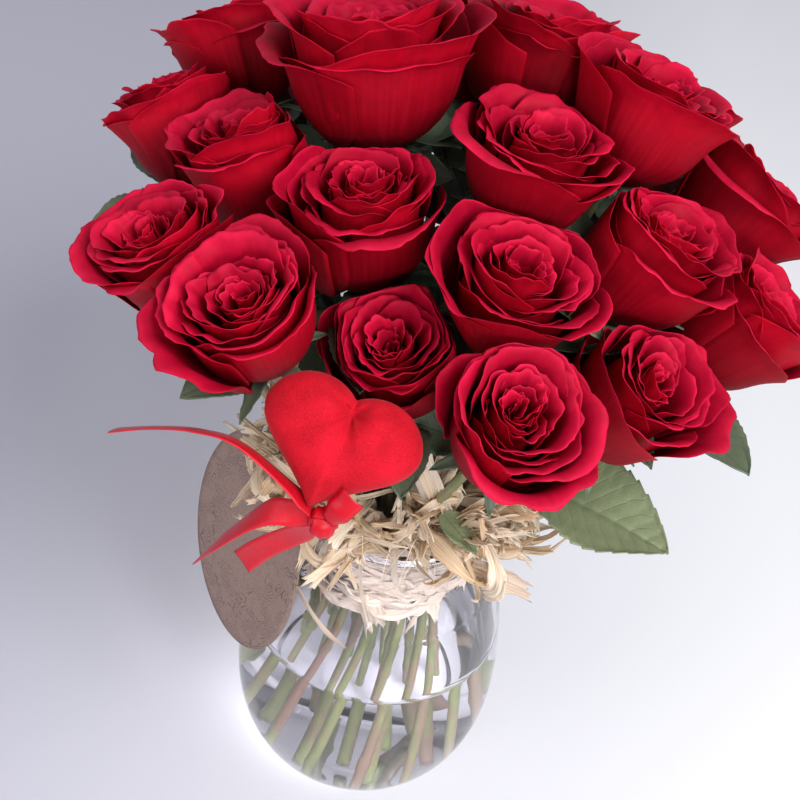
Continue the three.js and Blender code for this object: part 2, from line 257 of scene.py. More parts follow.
def noise(tree, scale, detail=3.0, stretch=(1, 1, 1), source=None):
    """A noise texture on object coordinates, stretched along the axes. Returns its value output."""
    mapping = tree.nodes.new("ShaderNodeMapping")
    mapping.inputs["Scale"].default_value = stretch
    if source is None:
        source = tree.nodes.new("ShaderNodeTexCoord").outputs["Object"]
    tree.links.new(source, mapping.inputs["Vector"])
    texture = tree.nodes.new("ShaderNodeTexNoise")
    texture.inputs["Scale"].default_value = scale
    texture.inputs["Detail"].default_value = detail
    tree.links.new(mapping.outputs["Vector"], texture.inputs["Vector"])
    return texture.outputs["Fac"]


def ramp(tree, value, stops):
    """A colour ramp from (position, colour) pairs."""
    node = tree.nodes.new("ShaderNodeValToRGB")
    elements = node.color_ramp.elements
    while len(elements) < len(stops):
        elements.new(0.5)
    for element, (position, colour) in zip(elements, stops):
        element.position = position
        element.color = (*colour, 1)
    tree.links.new(value, node.inputs["Fac"])
    return node.outputs["Color"]


def mask(tree, value, *stops):
    """A grey ramp from (position, brightness) pairs."""
    return ramp(tree, value, [(position, (grey, grey, grey)) for position, grey in stops])


def mix(tree, factor, a, b, mode="MIX"):
    """A colour mix. Each input is an output socket, a colour or a number."""
    node = tree.nodes.new("ShaderNodeMix")
    node.data_type = "RGBA"
    node.blend_type = mode
    for key, value in (("Factor", factor), ("A", a), ("B", b)):
        kind = "VALUE" if key == "Factor" else "RGBA"
        socket = next(s for s in node.inputs if s.name == key and s.type == kind)
        if isinstance(value, bpy.types.NodeSocket):
            tree.links.new(value, socket)
        else:
            socket.default_value = value if key == "Factor" else (*value, 1)
    return next(s for s in node.outputs if s.type == "RGBA")


def math_node(tree, operation, a, b=0.0):
    """One sum on outputs or numbers."""
    node = tree.nodes.new("ShaderNodeMath")
    node.operation = operation
    for socket, value in zip(node.inputs, (a, b)):
        if isinstance(value, bpy.types.NodeSocket):
            tree.links.new(value, socket)
        else:
            socket.default_value = value
    return node.outputs[0]


def base_colour(tree, shader, colour):
    """Joins a colour to the shader."""
    tree.links.new(colour, shader.inputs["Base Color"])


def voronoi(tree, place, scale, feature="F1"):
    """The distance output of a cell pattern."""
    node = tree.nodes.new("ShaderNodeTexVoronoi")
    node.feature = feature
    node.inputs["Scale"].default_value = scale
    tree.links.new(place, node.inputs["Vector"])
    return node.outputs["Distance"]


def from_middle(tree, across):
    """How far across a strip a point is from its middle line, up to 0.5 at its edges."""
    return math_node(tree, "ABSOLUTE", math_node(tree, "SUBTRACT", across, 0.5))


def bump(tree, shader, height, strength, distance):
    """Fine relief from a height output. distance is in metres."""
    node = tree.nodes.new("ShaderNodeBump")
    node.inputs["Strength"].default_value = strength
    node.inputs["Distance"].default_value = distance
    tree.links.new(height, node.inputs["Height"])
    tree.links.new(node.outputs["Normal"], shader.inputs["Normal"])


def painted(tree):
    """The four channels of the piece's own vertex colours."""
    attribute = tree.nodes.new("ShaderNodeAttribute")
    attribute.attribute_name = "paint"
    split = tree.nodes.new("ShaderNodeSeparateColor")
    tree.links.new(attribute.outputs["Color"], split.inputs["Color"])
    return split.outputs[0], split.outputs[1], split.outputs[2], attribute.outputs["Alpha"]


def paint_place(tree, height, across, chance):
    """The painted channels as one place, for textures that follow the piece's own length and width."""
    place = tree.nodes.new("ShaderNodeCombineXYZ")
    tree.links.new(across, place.inputs[0])
    tree.links.new(height, place.inputs[1])
    tree.links.new(chance, place.inputs[2])
    return place.outputs[0]


def petal_material():
    """Deep red petals: paler and pinker backs, fine veins from foot to rim, painted shade at the foot and
    painted light at the rim.
    """
    material, tree, shader = new_material("petal", Roughness=0.6, Specular_IOR_Level=0.10)
    height, across, chance, back = painted(tree)
    # Painted shade and light along each petal over its own deep red: near black at the foot deep in the head,
    # brightest at the rim.
    inner = ramp(tree, height, [(0.0, (0.04, 0.0, 0.001)), (0.62, (0.25, 0.0, 0.006)),
                                (0.9, (0.46, 0.001, 0.014)), (1.0, (0.66, 0.006, 0.035))])
    outer = ramp(tree, height, [(0.0, (0.16, 0.0, 0.009)), (0.6, (0.31, 0.001, 0.017)),
                                (0.93, (0.44, 0.002, 0.026)), (1.0, (0.62, 0.008, 0.05))])
    colour = mix(tree, back, inner, outer)
    veins = noise(tree, 1.0, 4.0, (38, 1.6, 9), paint_place(tree, height, across, chance))
    blotches = noise(tree, 160, 3.0)
    colour = mix(tree, mask(tree, veins, (0.4, 0), (0.75, 0.26)), colour, (0.54, 0.008, 0.035))
    colour = mix(tree, mask(tree, blotches, (0.4, 0), (0.75, 0.35)), colour, (0.2, 0.0, 0.01))
    tint = ramp(tree, chance, [(0.0, (0.82, 0.75, 0.8)), (1.0, (1.12, 1.1, 1.15))])
    base_colour(tree, shader, mix(tree, 1.0, colour, tint, "MULTIPLY"))
    bump(tree, shader, veins, 0.14, 0.0005)
    return material


def stem_material():
    """Green stems, browner and paler in patches, with fine grooves along them."""
    material, tree, shader = new_material("stem", Roughness=0.45)
    _, _, chance, _ = painted(tree)
    patches = noise(tree, 55, 4.0, (1, 1, 0.35))
    green = ramp(tree, patches, [(0.3, (0.12, 0.15, 0.06)), (0.46, (0.21, 0.25, 0.10)),
                                 (0.62, (0.25, 0.18, 0.13))])
    fresh = ramp(tree, chance, [(0.0, (0.95, 0.79, 0.82)), (0.5, (1.0, 0.95, 0.95)), (1.0, (1.1, 1.15, 0.95))])
    base_colour(tree, shader, mix(tree, 1.0, green, fresh, "MULTIPLY"))
    bump(tree, shader, noise(tree, 260, 3.0, (1, 1, 0.12)), 0.35, 0.0008)
    return material


def velvet_material():
    """Bright red velvet with a fine speckled pile."""
    material, tree, shader = new_material("velvet", Roughness=0.85, Sheen_Weight=0.16, Sheen_Roughness=0.35,
                                          Sheen_Tint=(1.0, 0.35, 0.35, 1), Specular_IOR_Level=0.15)
    pile = noise(tree, 2600, 2.0)
    brushed = noise(tree, 90, 4.0)
    deep = ramp(tree, brushed, [(0.3, (0.36, 0.001, 0.008)), (0.7, (0.54, 0.003, 0.016))])
    speckles = mask(tree, pile, (0.45, 0), (0.72, 0.55))
    base_colour(tree, shader, mix(tree, speckles, deep, (0.72, 0.018, 0.040)))
    bump(tree, shader, pile, 0.35, 0.0004)
    return material


def satin_material():
    """Red satin ribbon: close cross threads and a firmer edge."""
    material, tree, shader = new_material("satin", Roughness=0.36, Specular_IOR_Level=0.3, Anisotropic=0.5)
    height, across, chance, _ = painted(tree)
    threads = noise(tree, 1.0, 2.0, (5, 90, 1), paint_place(tree, height, across, chance))
    colour = ramp(tree, threads, [(0.3, (0.44, 0.001, 0.010)), (0.7, (0.66, 0.008, 0.026))])
    selvedge = mask(tree, from_middle(tree, across), (0.42, 0), (0.47, 0.5))
    base_colour(tree, shader, mix(tree, selvedge, colour, (0.74, 0.03, 0.05)))
    bump(tree, shader, threads, 0.3, 0.0003)
    return material


def kraft_material():
    """Brown-mauve card with a thin printed pattern of whorls that fades towards its middle."""
    material, tree, shader = new_material("kraft", Roughness=0.8)
    across, height, ring, _ = painted(tree)
    place = paint_place(tree, height, across, ring)
    fibre = noise(tree, 900, 4.0)
    base = ramp(tree, fibre, [(0.3, (0.235, 0.155, 0.125)), (0.7, (0.315, 0.215, 0.18))])
    bend = tree.nodes.new("ShaderNodeTexNoise")
    bend.inputs["Scale"].default_value = 7.0
    bend.inputs["Detail"].default_value = 2.0
    tree.links.new(place, bend.inputs["Vector"])
    bent = mix(tree, 0.10, place, bend.outputs["Color"], "ADD")
    whorl = math_node(tree, "SINE", math_node(tree, "MULTIPLY", voronoi(tree, bent, 8.0), 25.0))
    line = math_node(tree, "LESS_THAN", math_node(tree, "ABSOLUTE", whorl), 0.36)
    broken = noise(tree, 1.0, 3.0, (16, 16, 3), place)
    shown = mask(tree, broken, (0.44, 0), (0.52, 1))
    border = mask(tree, ring, (0.30, 0.15), (0.62, 0.75))
    ink = mix(tree, 1.0, mix(tree, 1.0, shown, border, "MULTIPLY"), line_colour(tree, line), "MULTIPLY")
    base_colour(tree, shader, mix(tree, ink, base, (0.075, 0.048, 0.06)))
    bump(tree, shader, fibre, 0.2, 0.0003)
    return material


def line_colour(tree, value):
    """A number as a grey colour."""
    node = tree.nodes.new("ShaderNodeCombineColor")
    for socket in node.inputs[:3]:
        tree.links.new(value, socket)
    return node.outputs[0]


def raffia_material():
    """Dry husk: cream to tan, streaked along each strip and browner in some; a painted glass haze on those
    behind the glass.
    """
    material, tree, shader = new_material("raffia", Roughness=0.62, Subsurface_Weight=0.12,
                                          Subsurface_Radius=(0.004, 0.003, 0.002), Subsurface_Scale=1.0)
    height, across, chance, other = painted(tree)
    place = paint_place(tree, height, across, chance)
    streaks = noise(tree, 1.0, 4.0, (22, 1.6, 37), place)
    colour = ramp(tree, streaks, [(0.3, (0.54, 0.36, 0.21)), (0.45, (0.80, 0.63, 0.46)),
                                  (0.65, (0.94, 0.84, 0.71))])
    tone = ramp(tree, chance, [(0.0, (0.72, 0.58, 0.44)), (0.3, (0.96, 0.90, 0.82)), (1.0, (1.0, 1.0, 1.0))])
    colour = mix(tree, 1.0, colour, tone, "MULTIPLY")
    # Painted glass haze: strips seen through the glass are mixed towards a pale pinkish grey, by the paint's
    # fourth channel.
    painted_glass_haze = mix(tree, 0.55, colour, (0.58, 0.49, 0.47))
    base_colour(tree, shader, mix(tree, other, colour, painted_glass_haze))
    bump(tree, shader, streaks, 0.5, 0.0007)
    return material


def leaf_material(name, top, top_dark, under):
    """A rose leaf: glossy dark face, paler dull underside, side veins that slant to the edge."""
    material, tree, shader = new_material(name, Roughness=0.48)
    height, across, chance, back = painted(tree)
    side = from_middle(tree, across)
    slant = math_node(tree, "SUBTRACT", height, math_node(tree, "MULTIPLY", side, 0.55))
    wave = math_node(tree, "PINGPONG", math_node(tree, "MULTIPLY", slant, 8.5), 0.5)
    side_vein = mask(tree, wave, (0.0, 0.8), (0.09, 0))
    middle = mask(tree, side, (0.012, 1), (0.03, 0))
    net = voronoi(tree, paint_place(tree, height, across, chance), 26.0, "DISTANCE_TO_EDGE")
    fine = mask(tree, net, (0.0, 0.35), (0.10, 0))
    veins = mix(tree, 1.0, mix(tree, 1.0, side_vein, middle, "LIGHTEN"), fine, "LIGHTEN")
    patches = noise(tree, 60, 3.0)
    face = ramp(tree, patches, [(0.3, top_dark), (0.7, top)])
    below = ramp(tree, patches, [(0.3, tuple(0.8 * c for c in under)), (0.7, under)])
    colour = mix(tree, back, face, below)
    vein_colour = mix(tree, back, tuple(1.7 * c for c in top), tuple(0.72 * c for c in under))
    base_colour(tree, shader, mix(tree, veins, colour, vein_colour))
    bump(tree, shader, veins, 0.3, -0.0005)
    return material


def stick_material():
    """Pale wood with grain along it."""
    material, tree, shader = new_material("stick", Roughness=0.6)
    grain = noise(tree, 120, 4.0, (4, 4, 0.3))
    base_colour(tree, shader, ramp(tree, grain, [(0.3, (0.40, 0.25, 0.12)), (0.7, (0.62, 0.45, 0.26))]))
    bump(tree, shader, grain, 0.3, 0.0004)
    return material


def twig_material():
    """Dark rough bark."""
    material, tree, shader = new_material("bark", Roughness=0.9)
    grain = noise(tree, 700, 4.0)
    base_colour(tree, shader, ramp(tree, grain, [(0.3, (0.03, 0.018, 0.012)), (0.7, (0.12, 0.07, 0.045))]))
    bump(tree, shader, grain, 0.5, 0.0004)
    return material


def glass_material():
    """Clear glass with a faint ripple."""
    material, tree, shader = new_material("clear_glass", Roughness=0.0, IOR=1.46, Transmission_Weight=1.0)
    ripple = noise(tree, 14, 2.0)
    base_colour(tree, shader, ramp(tree, ripple, [(0.3, (0.95, 0.945, 0.975)), (0.7, (0.985, 0.98, 1))]))
    bump(tree, shader, ripple, 0.05, 0.002)
    return material


def water_material():
    """Clear water."""
    material, tree, shader = new_material("clear_water", Roughness=0.0, IOR=1.33, Transmission_Weight=1.0)
    ripple = noise(tree, 30, 2.0)
    base_colour(tree, shader, ramp(tree, ripple, [(0.3, (0.96, 0.955, 0.975)), (0.7, (0.99, 0.985, 1))]))
    return material


# ---------------------------------------------------------------- roses


def stem_route(place):
    """A stem's middle line, ended at the foot of its head."""
    rings = place["rings"]
    return smooth_path([*rings[:-1], place["foot"]], 100)


def rose_places():
    """For each rose: where its stem ends, which way its head looks, and the head's size, from the CAD."""
    places = {}
    for name in sorted(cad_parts):
        if not name.endswith("_bloom"):
            continue
        label = name[:-6]
        rings = stem_rings(label + "_stem")
        bloom = node_points(name)
        centre = bloom.mean(0)
        foot = rings[-1]
        axis = unit(centre - foot)
        foot = foot - axis * FOOT_DROP
        along = (bloom - foot) @ axis - FACE_DROP
        out = np.linalg.norm((bloom - foot) - along[:, None] * axis, axis=1)
        middle = foot + axis * along.max() * 0.62
        places[label] = dict(rings=rings, foot=foot, axis=axis, middle=middle,
                             depth=along.max(), radius=out.max())
    return places


def stem_rings(name):
    """The centres of a CAD stem's cross-sections, from its foot up."""
    points = node_points(name)
    order = points[np.argsort(points[:, 2])]
    breaks = np.where(np.diff(order[:, 2]) > 0.006)[0] + 1
    return np.array([group.mean(0) for group in np.split(order, breaks)])


def cup_curve(angles, length, start):
    """A petal's side view: radius and height from its foot to its tip. The angles are its lean from upright,
    in degrees, at five places along it."""
    v = np.linspace(0, 1, 60)
    lean = np.radians(np.interp(v, [0, 0.3, 0.6, 0.84, 1.0], angles))
    step = length / 59
    radius = start[0] + np.concatenate([[0], np.cumsum(np.sin(lean[1:]) * step)])
    height = start[1] + np.concatenate([[0], np.cumsum(np.cos(lean[1:]) * step)])
    return v, np.maximum(radius, 0.012), height


def blend(a, b, t):
    """Part way from a to b: t is 0 at a and 1 at b."""
    return np.asarray(a, float) * (1 - t) + np.asarray(b, float) * t


# Side views of a petal at the heart, in the middle and at the outside of a head: leans in degrees,
# length, foot (radius, height) and half its width round the head in degrees. Lengths are in head radii.
HEART = dict(angles=[14, 2, -6, -2, 18], length=0.98, start=[0.03, 0.16], half=125)
MIDDLE = dict(angles=[62, 12, -8, 0, 40], length=1.28, start=[0.06, 0.12], half=92)
OUTSIDE = dict(angles=[84, 46, 4, 9, 74], length=1.70, start=[0.07, 0.05], half=72)
PETAL_COLUMNS = 31
PETAL_ROWS = 17


def petal_shape(t, openness):
    """The shape of the petal at t, from 0 at the heart of the head to 1 at its outside."""
    shape = {}
    for key in HEART:
        if t < 0.5:
            shape[key] = blend(HEART[key], MIDDLE[key], (t / 0.5) ** 0.9)
        else:
            shape[key] = blend(MIDDLE[key], OUTSIDE[key], (t - 0.5) / 0.5)
    shape["angles"] = shape["angles"] + np.array([0, 2, 4, 6, 12]) * openness * t
    return shape


def petal_grid(t, turn, openness, chance, droop=0.0):
    """One petal as a grid of points in head radii, with its height and side-to-side shares."""
    shape = petal_shape(t, openness)
    angles = shape["angles"] + np.array([0, 10, 26, 46, 60]) * droop
    angles[4] += chance.uniform(-16, 26) * (0.4 + t)
    angles[3] += chance.uniform(-5, 8) * t
    angles[1:4] += chance.uniform(-7, 7) * (1 - 0.5 * t)
    length = float(shape["length"]) * chance.uniform(0.88, 1.06)
    v, radius, height = cup_curve(angles, length, shape["start"])
    u = np.linspace(-1, 1, PETAL_COLUMNS)[None, :]
    s = (1 - (1 - np.linspace(0, 1, PETAL_ROWS)) ** 1.35)[:, None]
    notch = chance.uniform(-0.03, 0.04)
    reach = 1 - 0.17 * np.abs(u) ** 3.0 - notch * np.exp(-((u / 0.2) ** 2))
    phase = [chance.uniform(0, 2 * math.pi) for _ in range(6)]
    rim_wave = 0.014 * np.sin(4.1 * u + phase[0]) + 0.007 * np.sin(13 * u + phase[1])
    rim_wave = rim_wave + np.array([chance.uniform(-0.010, 0.010) for _ in range(PETAL_COLUMNS)])[None, :]
    at = s * (reach + rim_wave * s**3)
    r = np.interp(at, v, radius)
    z = np.interp(at, v, height)
    half = math.radians(float(shape["half"]) * chance.uniform(0.9, 1.1))
    width = (0.5 + 0.5 * ease(at / 0.5)) * (1 - 0.08 * ease((at - 0.8) / 0.2))
    tuck = chance.uniform(0.04, 0.15) * (1 - 0.35 * t)
    r = r * (1 + tuck * u) + 0.012 * u
    rolled = ease((np.abs(u) - 0.55) / 0.45) * ease((at - 0.5) / 0.5)
    r = r + 0.10 * t * rolled * chance.uniform(0.0, 1.3)
    z = z - 0.05 * t * rolled
    frill = ease((at - 0.6) / 0.4)
    amount = 0.011 + 0.024 * t
    r = r + amount * frill * (np.sin(4.5 * u + phase[2]) + 0.4 * np.sin(9.5 * u + phase[3]))
    z = z + 0.6 * amount * frill * np.sin(5.5 * u + phase[3])
    ruffle = ease((at - 0.74) / 0.26) * (0.55 + 0.45 * np.sin(2.7 * u + phase[4]))
    r = r + (0.012 + 0.016 * t) * ruffle * np.sin(15 * u + phase[5])
    z = z + 0.012 * ruffle * np.sin(18 * u + phase[4])
    round_head = turn + u * half * width
    grid = np.stack([r * np.cos(round_head), r * np.sin(round_head), z], 2)
    return grid, at, np.broadcast_to(u, at.shape)


def rose_head(chance, openness, petals, loose):
    """All the petals of one head, in head radii, foot at the origin and looking up.
    loose is how many of the outermost petals hang open."""
    soup = Soup()
    turn = chance.uniform(0, 2 * math.pi)
    lean = np.array([chance.uniform(-0.15, 0.15), chance.uniform(-0.15, 0.15)])
    oval = chance.uniform(0.72, 0.97)
    facing = chance.uniform(0, math.pi)
    for k in range(petals):
        t = (k / (petals - 1)) ** 0.85
        turn += math.radians(GOLDEN_TURN + chance.uniform(-24, 24))
        from_outside = petals - 1 - k
        droop = chance.uniform(0.05, 0.38) if from_outside < GUARD_PETALS else 0.0
        if from_outside < loose:
            droop = chance.uniform(0.5, 0.9)
        grid, at, u = petal_grid(t, turn, openness, chance, droop)
        inner = (1 - t) ** 0.7
        own_lean = np.array([chance.uniform(-0.09, 0.09), chance.uniform(-0.09, 0.09)]) * min(1.0, 4 * t)
        grid[..., :2] += (lean + own_lean) * (inner * grid[..., 2:3])
        along = np.array([math.cos(facing), math.sin(facing)])
        squeeze = 1 - (1 - oval) * inner
        grid[..., :2] -= (grid[..., :2] @ along)[..., None] * along * (1 - squeeze)
        points, faces = shell(grid, 0.013 * (1.25 - at))
        paint = np.stack([at, (u + 1) / 2, np.full(at.shape, chance.random())], 2).reshape(-1, 3)
        soup.add(points, faces, two_sides(paint))
    return soup


def turned_to(axis, chance):
    """A turn that takes +Z to an axis, after a turn by chance about +Z."""
    axis = Vector(axis)
    turn = Vector((0, 0, 1)).rotation_difference(axis).to_matrix()
    return np.array(turn @ Matrix.Rotation(chance.uniform(0, 2 * math.pi), 3, "Z"))


def press_apart(points, own, others):
    """Keeps a head's petals on its own side of its neighbours, flattening them where they would meet."""
    points = points.copy()
    room = 7 * MM
    for other in others:
        between = other["middle"] - own["middle"]
        distance = np.linalg.norm(between)
        if distance > 2.6 * own["reach"]:
            continue
        share = own["reach"] / (own["reach"] + other["reach"])
        normal = between / distance
        past = (points - own["middle"]) @ normal - (distance * share - 0.6 * MM)
        near = past > -room
        pushed = -room * np.exp(-(past + room) / room)
        points[near] += ((pushed - past)[:, None] * normal)[near]
    return inside_box(points)


def inside_box(points):
    """Flattens what would stand further than a few millimetres outside the CAD model's box."""
    room = 9 * MM
    spare = np.array([13, 12, 14]) * MM
    for side, edge in ((-1, np.array(cad_box[0])), (1, np.array(cad_box[1]))):
        past = side * (points - edge) - spare
        pushed = -room * np.exp(-(past + room) / room)
        points = np.where(past > -room, points + side * (pushed - past), points)
    points[:, 2] = np.maximum(points[:, 2], 0.0)
    return points


# The reach of a head's petals, in radii of its CAD node, and how much fuller some heads are than the rest.
HEAD_SPREAD = 1.33
FULLNESS = {"rose_03": 1.03, "rose_08": 1.02, "rose_11": 1.12, "rose_13": 1.05, "rose_14": 1.14}
# How far a head's face and foot lie below those of its CAD node.
FACE_DROP = 9 * MM
FOOT_DROP = 17 * MM
# A head's petals, how many of the outermost ones droop a little, and how many hang loose.
PETALS = 32
GUARD_PETALS = 4
LOOSE_PETALS = {"rose_09": 1, "rose_14": 1}
CALYX_RADIUS = 4.6 * MM


def neighbours_of(place, places):
    """What a head's petals must stay clear of: the other heads and the stuffed heart."""
    others = [other for other in places.values() if other is not place]
    heart = node_points("heart").mean(0)
    behind = place["middle"][1] - heart[1] > 40 * MM and abs(place["middle"][0] - heart[0]) < 30 * MM
    others.append(dict(middle=heart, reach=(12 if behind else 28) * MM))
    return others


def each_rose(places, seed):
    """Each rose's name and place, with random numbers of its own."""
    for number, (label, place) in enumerate(places.items()):
        yield label, place, random.Random(seed + number)


def add_roses(petal):
    """Each head's petals. Returns the places of the roses, which the stems and leaves follow."""
    places = rose_places()
    for label, place in places.items():
        place["reach"] = place["radius"] * HEAD_SPREAD * FULLNESS.get(label, 1.0)
    for label, place, chance in each_rose(places, 100):
        head = rose_head(chance, chance.uniform(0.0, 1.0), PETALS, LOOSE_PETALS.get(label, 0))
        turn = turned_to(place["axis"], chance)
        size = np.array([chance.uniform(0.95, 1.05), chance.uniform(0.95, 1.05), 1.0]) * place["reach"]
        size[2] = place["depth"] / 1.17
        others = neighbours_of(place, places)

        def settle(points):
            return press_apart((points * size) @ turn.T + place["foot"], place, others)

        head.build(label + "_petals", petal, "petal", label + "_bloom", settle)
    return places


def add_sepals(places, material):
    """Each head's green cup and its five pointed sepals, curling back under the petals."""
    for label, place, chance in each_rose(places, 500):
        turn = turned_to(place["axis"], chance)
        soup = Soup()
        share = np.linspace(0, 1, 9)
        path = np.stack([0 * share, 0 * share, -7 * MM + 11 * MM * share], 1)
        radii = CALYX_RADIUS * np.sin(np.pi * (0.12 + 0.76 * share)) ** 0.7
        soup.add(*tube(path, radii, 14), [0.2, 0.5, chance.random(), 1.0])
        for k in range(5):
            soup.add(*sepal(2 * math.pi * (k + chance.uniform(-0.1, 0.1)) / 5, chance))
        soup.build(label + "_sepals", material, "leaf", move=lambda p: p @ turn.T + place["foot"])


def sepal(turn, chance):
    """One sepal: a pointed strip that leaves the cup and curls outwards."""
    length = chance.uniform(22, 32) * MM
    lean = np.radians(np.interp(np.linspace(0, 1, 14), [0, 0.3, 1], [70, 80, chance.uniform(85, 150)]))
    r = 3 * MM + np.concatenate([[0], np.cumsum(np.sin(lean[1:]))]) * length / 13
    z = 1 * MM + np.concatenate([[0], np.cumsum(np.cos(lean[1:]))]) * length / 13
    s = np.linspace(0, 1, 14)[:, None]
    u = np.linspace(-1, 1, 5)[None, :]
    half = 3.6 * MM * np.sin(math.pi * (0.25 + 0.75 * s)) ** 0.8 * (1 + 0.12 * np.sin(26 * s))
    side = u * half
    rr = r[:, None] + 0 * u
    zz = z[:, None] + 0.9 * MM * u**2
    x = rr * math.cos(turn) - side * math.sin(turn)
    y = rr * math.sin(turn) + side * math.cos(turn)
    return *shell(np.stack([x, y, zz], 2), 0.5 * MM), [0.4, 0.5, chance.random(), 1.0]


def add_stems(places, stem):
    """Stems along the CAD stems' own middles, with knots where leaves were stripped, and thorns."""
    for label, place, chance in each_rose(places, 300):
        path = stem_route(place)
        share = np.linspace(0, 1, 100)
        radii = 2.5 * MM * (1.05 - 0.12 * share)
        for _ in range(5):
            radii += 0.7 * MM * np.exp(-(((share - chance.uniform(0.05, 0.95)) / 0.012) ** 2))
        soup = Soup()
        soup.add(*tube(path, radii, 12), [0.5, 0.5, chance.random(), 1.0])
        for _ in range(7):
            at = chance.uniform(0.45, 0.95)
            place_on = path[int(at * 99)]
            out = unit(np.array([chance.uniform(-1, 1), chance.uniform(-1, 1), -0.35]))
            thorn = place_on + out * np.linspace(1.8, 5.6, 5)[:, None] * MM
            thorn[:, 2] -= np.linspace(0, 1, 5) ** 2 * 1.1 * MM
            soup.add(*tube(thorn, np.linspace(1.3, 0.12, 5) * MM, 6), [0.5, 0.5, 0.95, 1.0])
        soup.build(label + "_stem_skin", stem, "stem", label + "_stem")


# ---------------------------------------------------------------- vase and water


def vase_profile():
    """The vase's outer and inner outlines, as (radius, height), from the CAD node."""
    points = node_points("glass_vase")
    radius = np.hypot(points[:, 0], points[:, 1])
    outer, inner = [], []
    for z in sorted(set(np.round(points[:, 2], 5))):
        level = radius[np.abs(points[:, 2] - z) < 1e-5]
        outer.append((level.max(), z))
        if z > 0.009 and level.min() < level.max() - 0.001:
            inner.append((level.min(), z))
    return np.array(outer), np.array(inner)


def turned_faces(rings, sides, reverse=False):
    """The faces of a closed body made of a first point, rings of points and a last point."""
    faces = []
    top = 1 + (rings - 1) * sides
    last = top + sides
    for j in range(sides):
        k = (j + 1) % sides
        faces.append((0, 1 + k, 1 + j, 0))
        for a in range(1, top, sides):
            b = a + sides
            faces.append((a + j, a + k, b + k, b + j))
        faces.append((top + j, top + k, last, top + j))
    return [face[:1] + face[:0:-1] for face in faces] if reverse else faces


LATHE_SIDES = 144


def lathe(profile):
    """A closed turned solid whose profile of (radius, height) starts and ends on the axis."""
    turn = np.linspace(0, 2 * math.pi, LATHE_SIDES, endpoint=False)
    points = [(0, 0, profile[0][1])]
    for radius, z in profile[1:-1]:
        points += [(radius * math.cos(a), radius * math.sin(a), z) for a in turn]
    points.append((0, 0, profile[-1][1]))
    return points, turned_faces(len(profile) - 2, LATHE_SIDES)


WALL = 2.6 * MM
BEAD = 1.9 * MM  # the radius of the rim's round edge
VASE_FLOOR = 8 * MM
INTO_WALL = 0.15 * MM  # how far the water reaches into the glass, so that no gap shows between them


def add_vase(glass, water):
    """The glass, with a round rim and a thick curved floor, and the water up to its level in it."""
    outer, inner = vase_profile()
    fine_outer = smooth_path(outer[outer[:, 1] < 0.2], 60)
    fine_inner = smooth_path(inner[(inner[:, 1] > 0.012) & (inner[:, 1] < 0.2)], 50)
    top = outer[:, 1].max()
    lip_out = outer[np.argmax(outer[:, 0] * (outer[:, 1] > 0.2))][0]
    bead = [(lip_out - WALL / 2 + BEAD * math.cos(a), top - BEAD + BEAD * math.sin(a))
            for a in np.linspace(-0.9, math.pi + 0.9, 16)]
    low_radius, low_height = fine_inner[0]
    floor_curve = [(low_radius * math.cos(a), VASE_FLOOR + (low_height - VASE_FLOOR) * (1 - math.sin(a)))
                   for a in np.linspace(0.15, math.pi / 2 - 0.05, 10)]
    foot = [(0, 1.6 * MM), (outer[0][0] - 7 * MM, 1.4 * MM), (outer[0][0] - 3 * MM, 0.0)]
    inside = [*map(tuple, fine_inner[::-1]), *floor_curve, (0, VASE_FLOOR)]
    shape = lathe([*foot, *map(tuple, fine_outer[1:]), *bead, *inside])
    one_piece("vase_glass", *shape, FULL, glass, "glass", "glass_vase").visible_shadow = False
    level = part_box("water")[1].z
    side = [(r + INTO_WALL, z) for r, z in fine_inner if z < level - 1 * MM]
    meniscus = [(side[-1][0] - 0.1 * MM, level + 0.6 * MM), (side[-1][0] - 2.2 * MM, level)]
    bottom = [(r + INTO_WALL, z - INTO_WALL) for r, z in reversed(floor_curve)]
    shape = lathe([(0, VASE_FLOOR - INTO_WALL), *bottom, *side, *meniscus, (0, level)])
    one_piece("water_body", *shape, FULL, water, "water", "water").visible_shadow = False


# ---------------------------------------------------------------- heart, ribbon and card


def own_axes(name, face_hint, up_hint):
    """A flat CAD node's middle and its (right, up, face) axes, with its sizes along them."""
    points = node_points(name)
    middle = (points.max(0) + points.min(0)) / 2
    _, axes = np.linalg.eigh(np.cov((points - points.mean(0)).T))
    face = axes[:, 0] * np.sign(axes[:, 0] @ np.array(face_hint))
    up = unit(np.array(up_hint, float) - face * (face @ np.array(up_hint, float)))
    right = np.cross(up, face)
    frame_axes = np.stack([right, up, face])
    spread = (points - middle) @ frame_axes.T
    centre = middle + frame_axes.T @ ((spread.max(0) + spread.min(0)) / 2)
    return centre, frame_axes, spread.max(0) - spread.min(0)


def heart_outline(angle):
    """The heart's edge, as a distance from its middle in half widths, for an angle from the right."""
    t = np.linspace(0, 2 * math.pi, 721)
    x = np.sign(np.sin(t)) * np.abs(np.sin(t)) ** 2.3
    y = (13 * np.cos(t) - 2.9 * np.cos(2 * t) - 1.0 * np.cos(3 * t) - 0.9 * np.cos(4 * t)) / 16 + 0.06
    bearing = np.arctan2(y, x)
    order = np.argsort(bearing)
    return np.interp(angle, bearing[order], np.hypot(x, y)[order], period=2 * math.pi)


HEART_TURN = -14.0  # degrees, in its own plane
HEART_RINGS = 44  # on each side
HEART_SIDES = 150


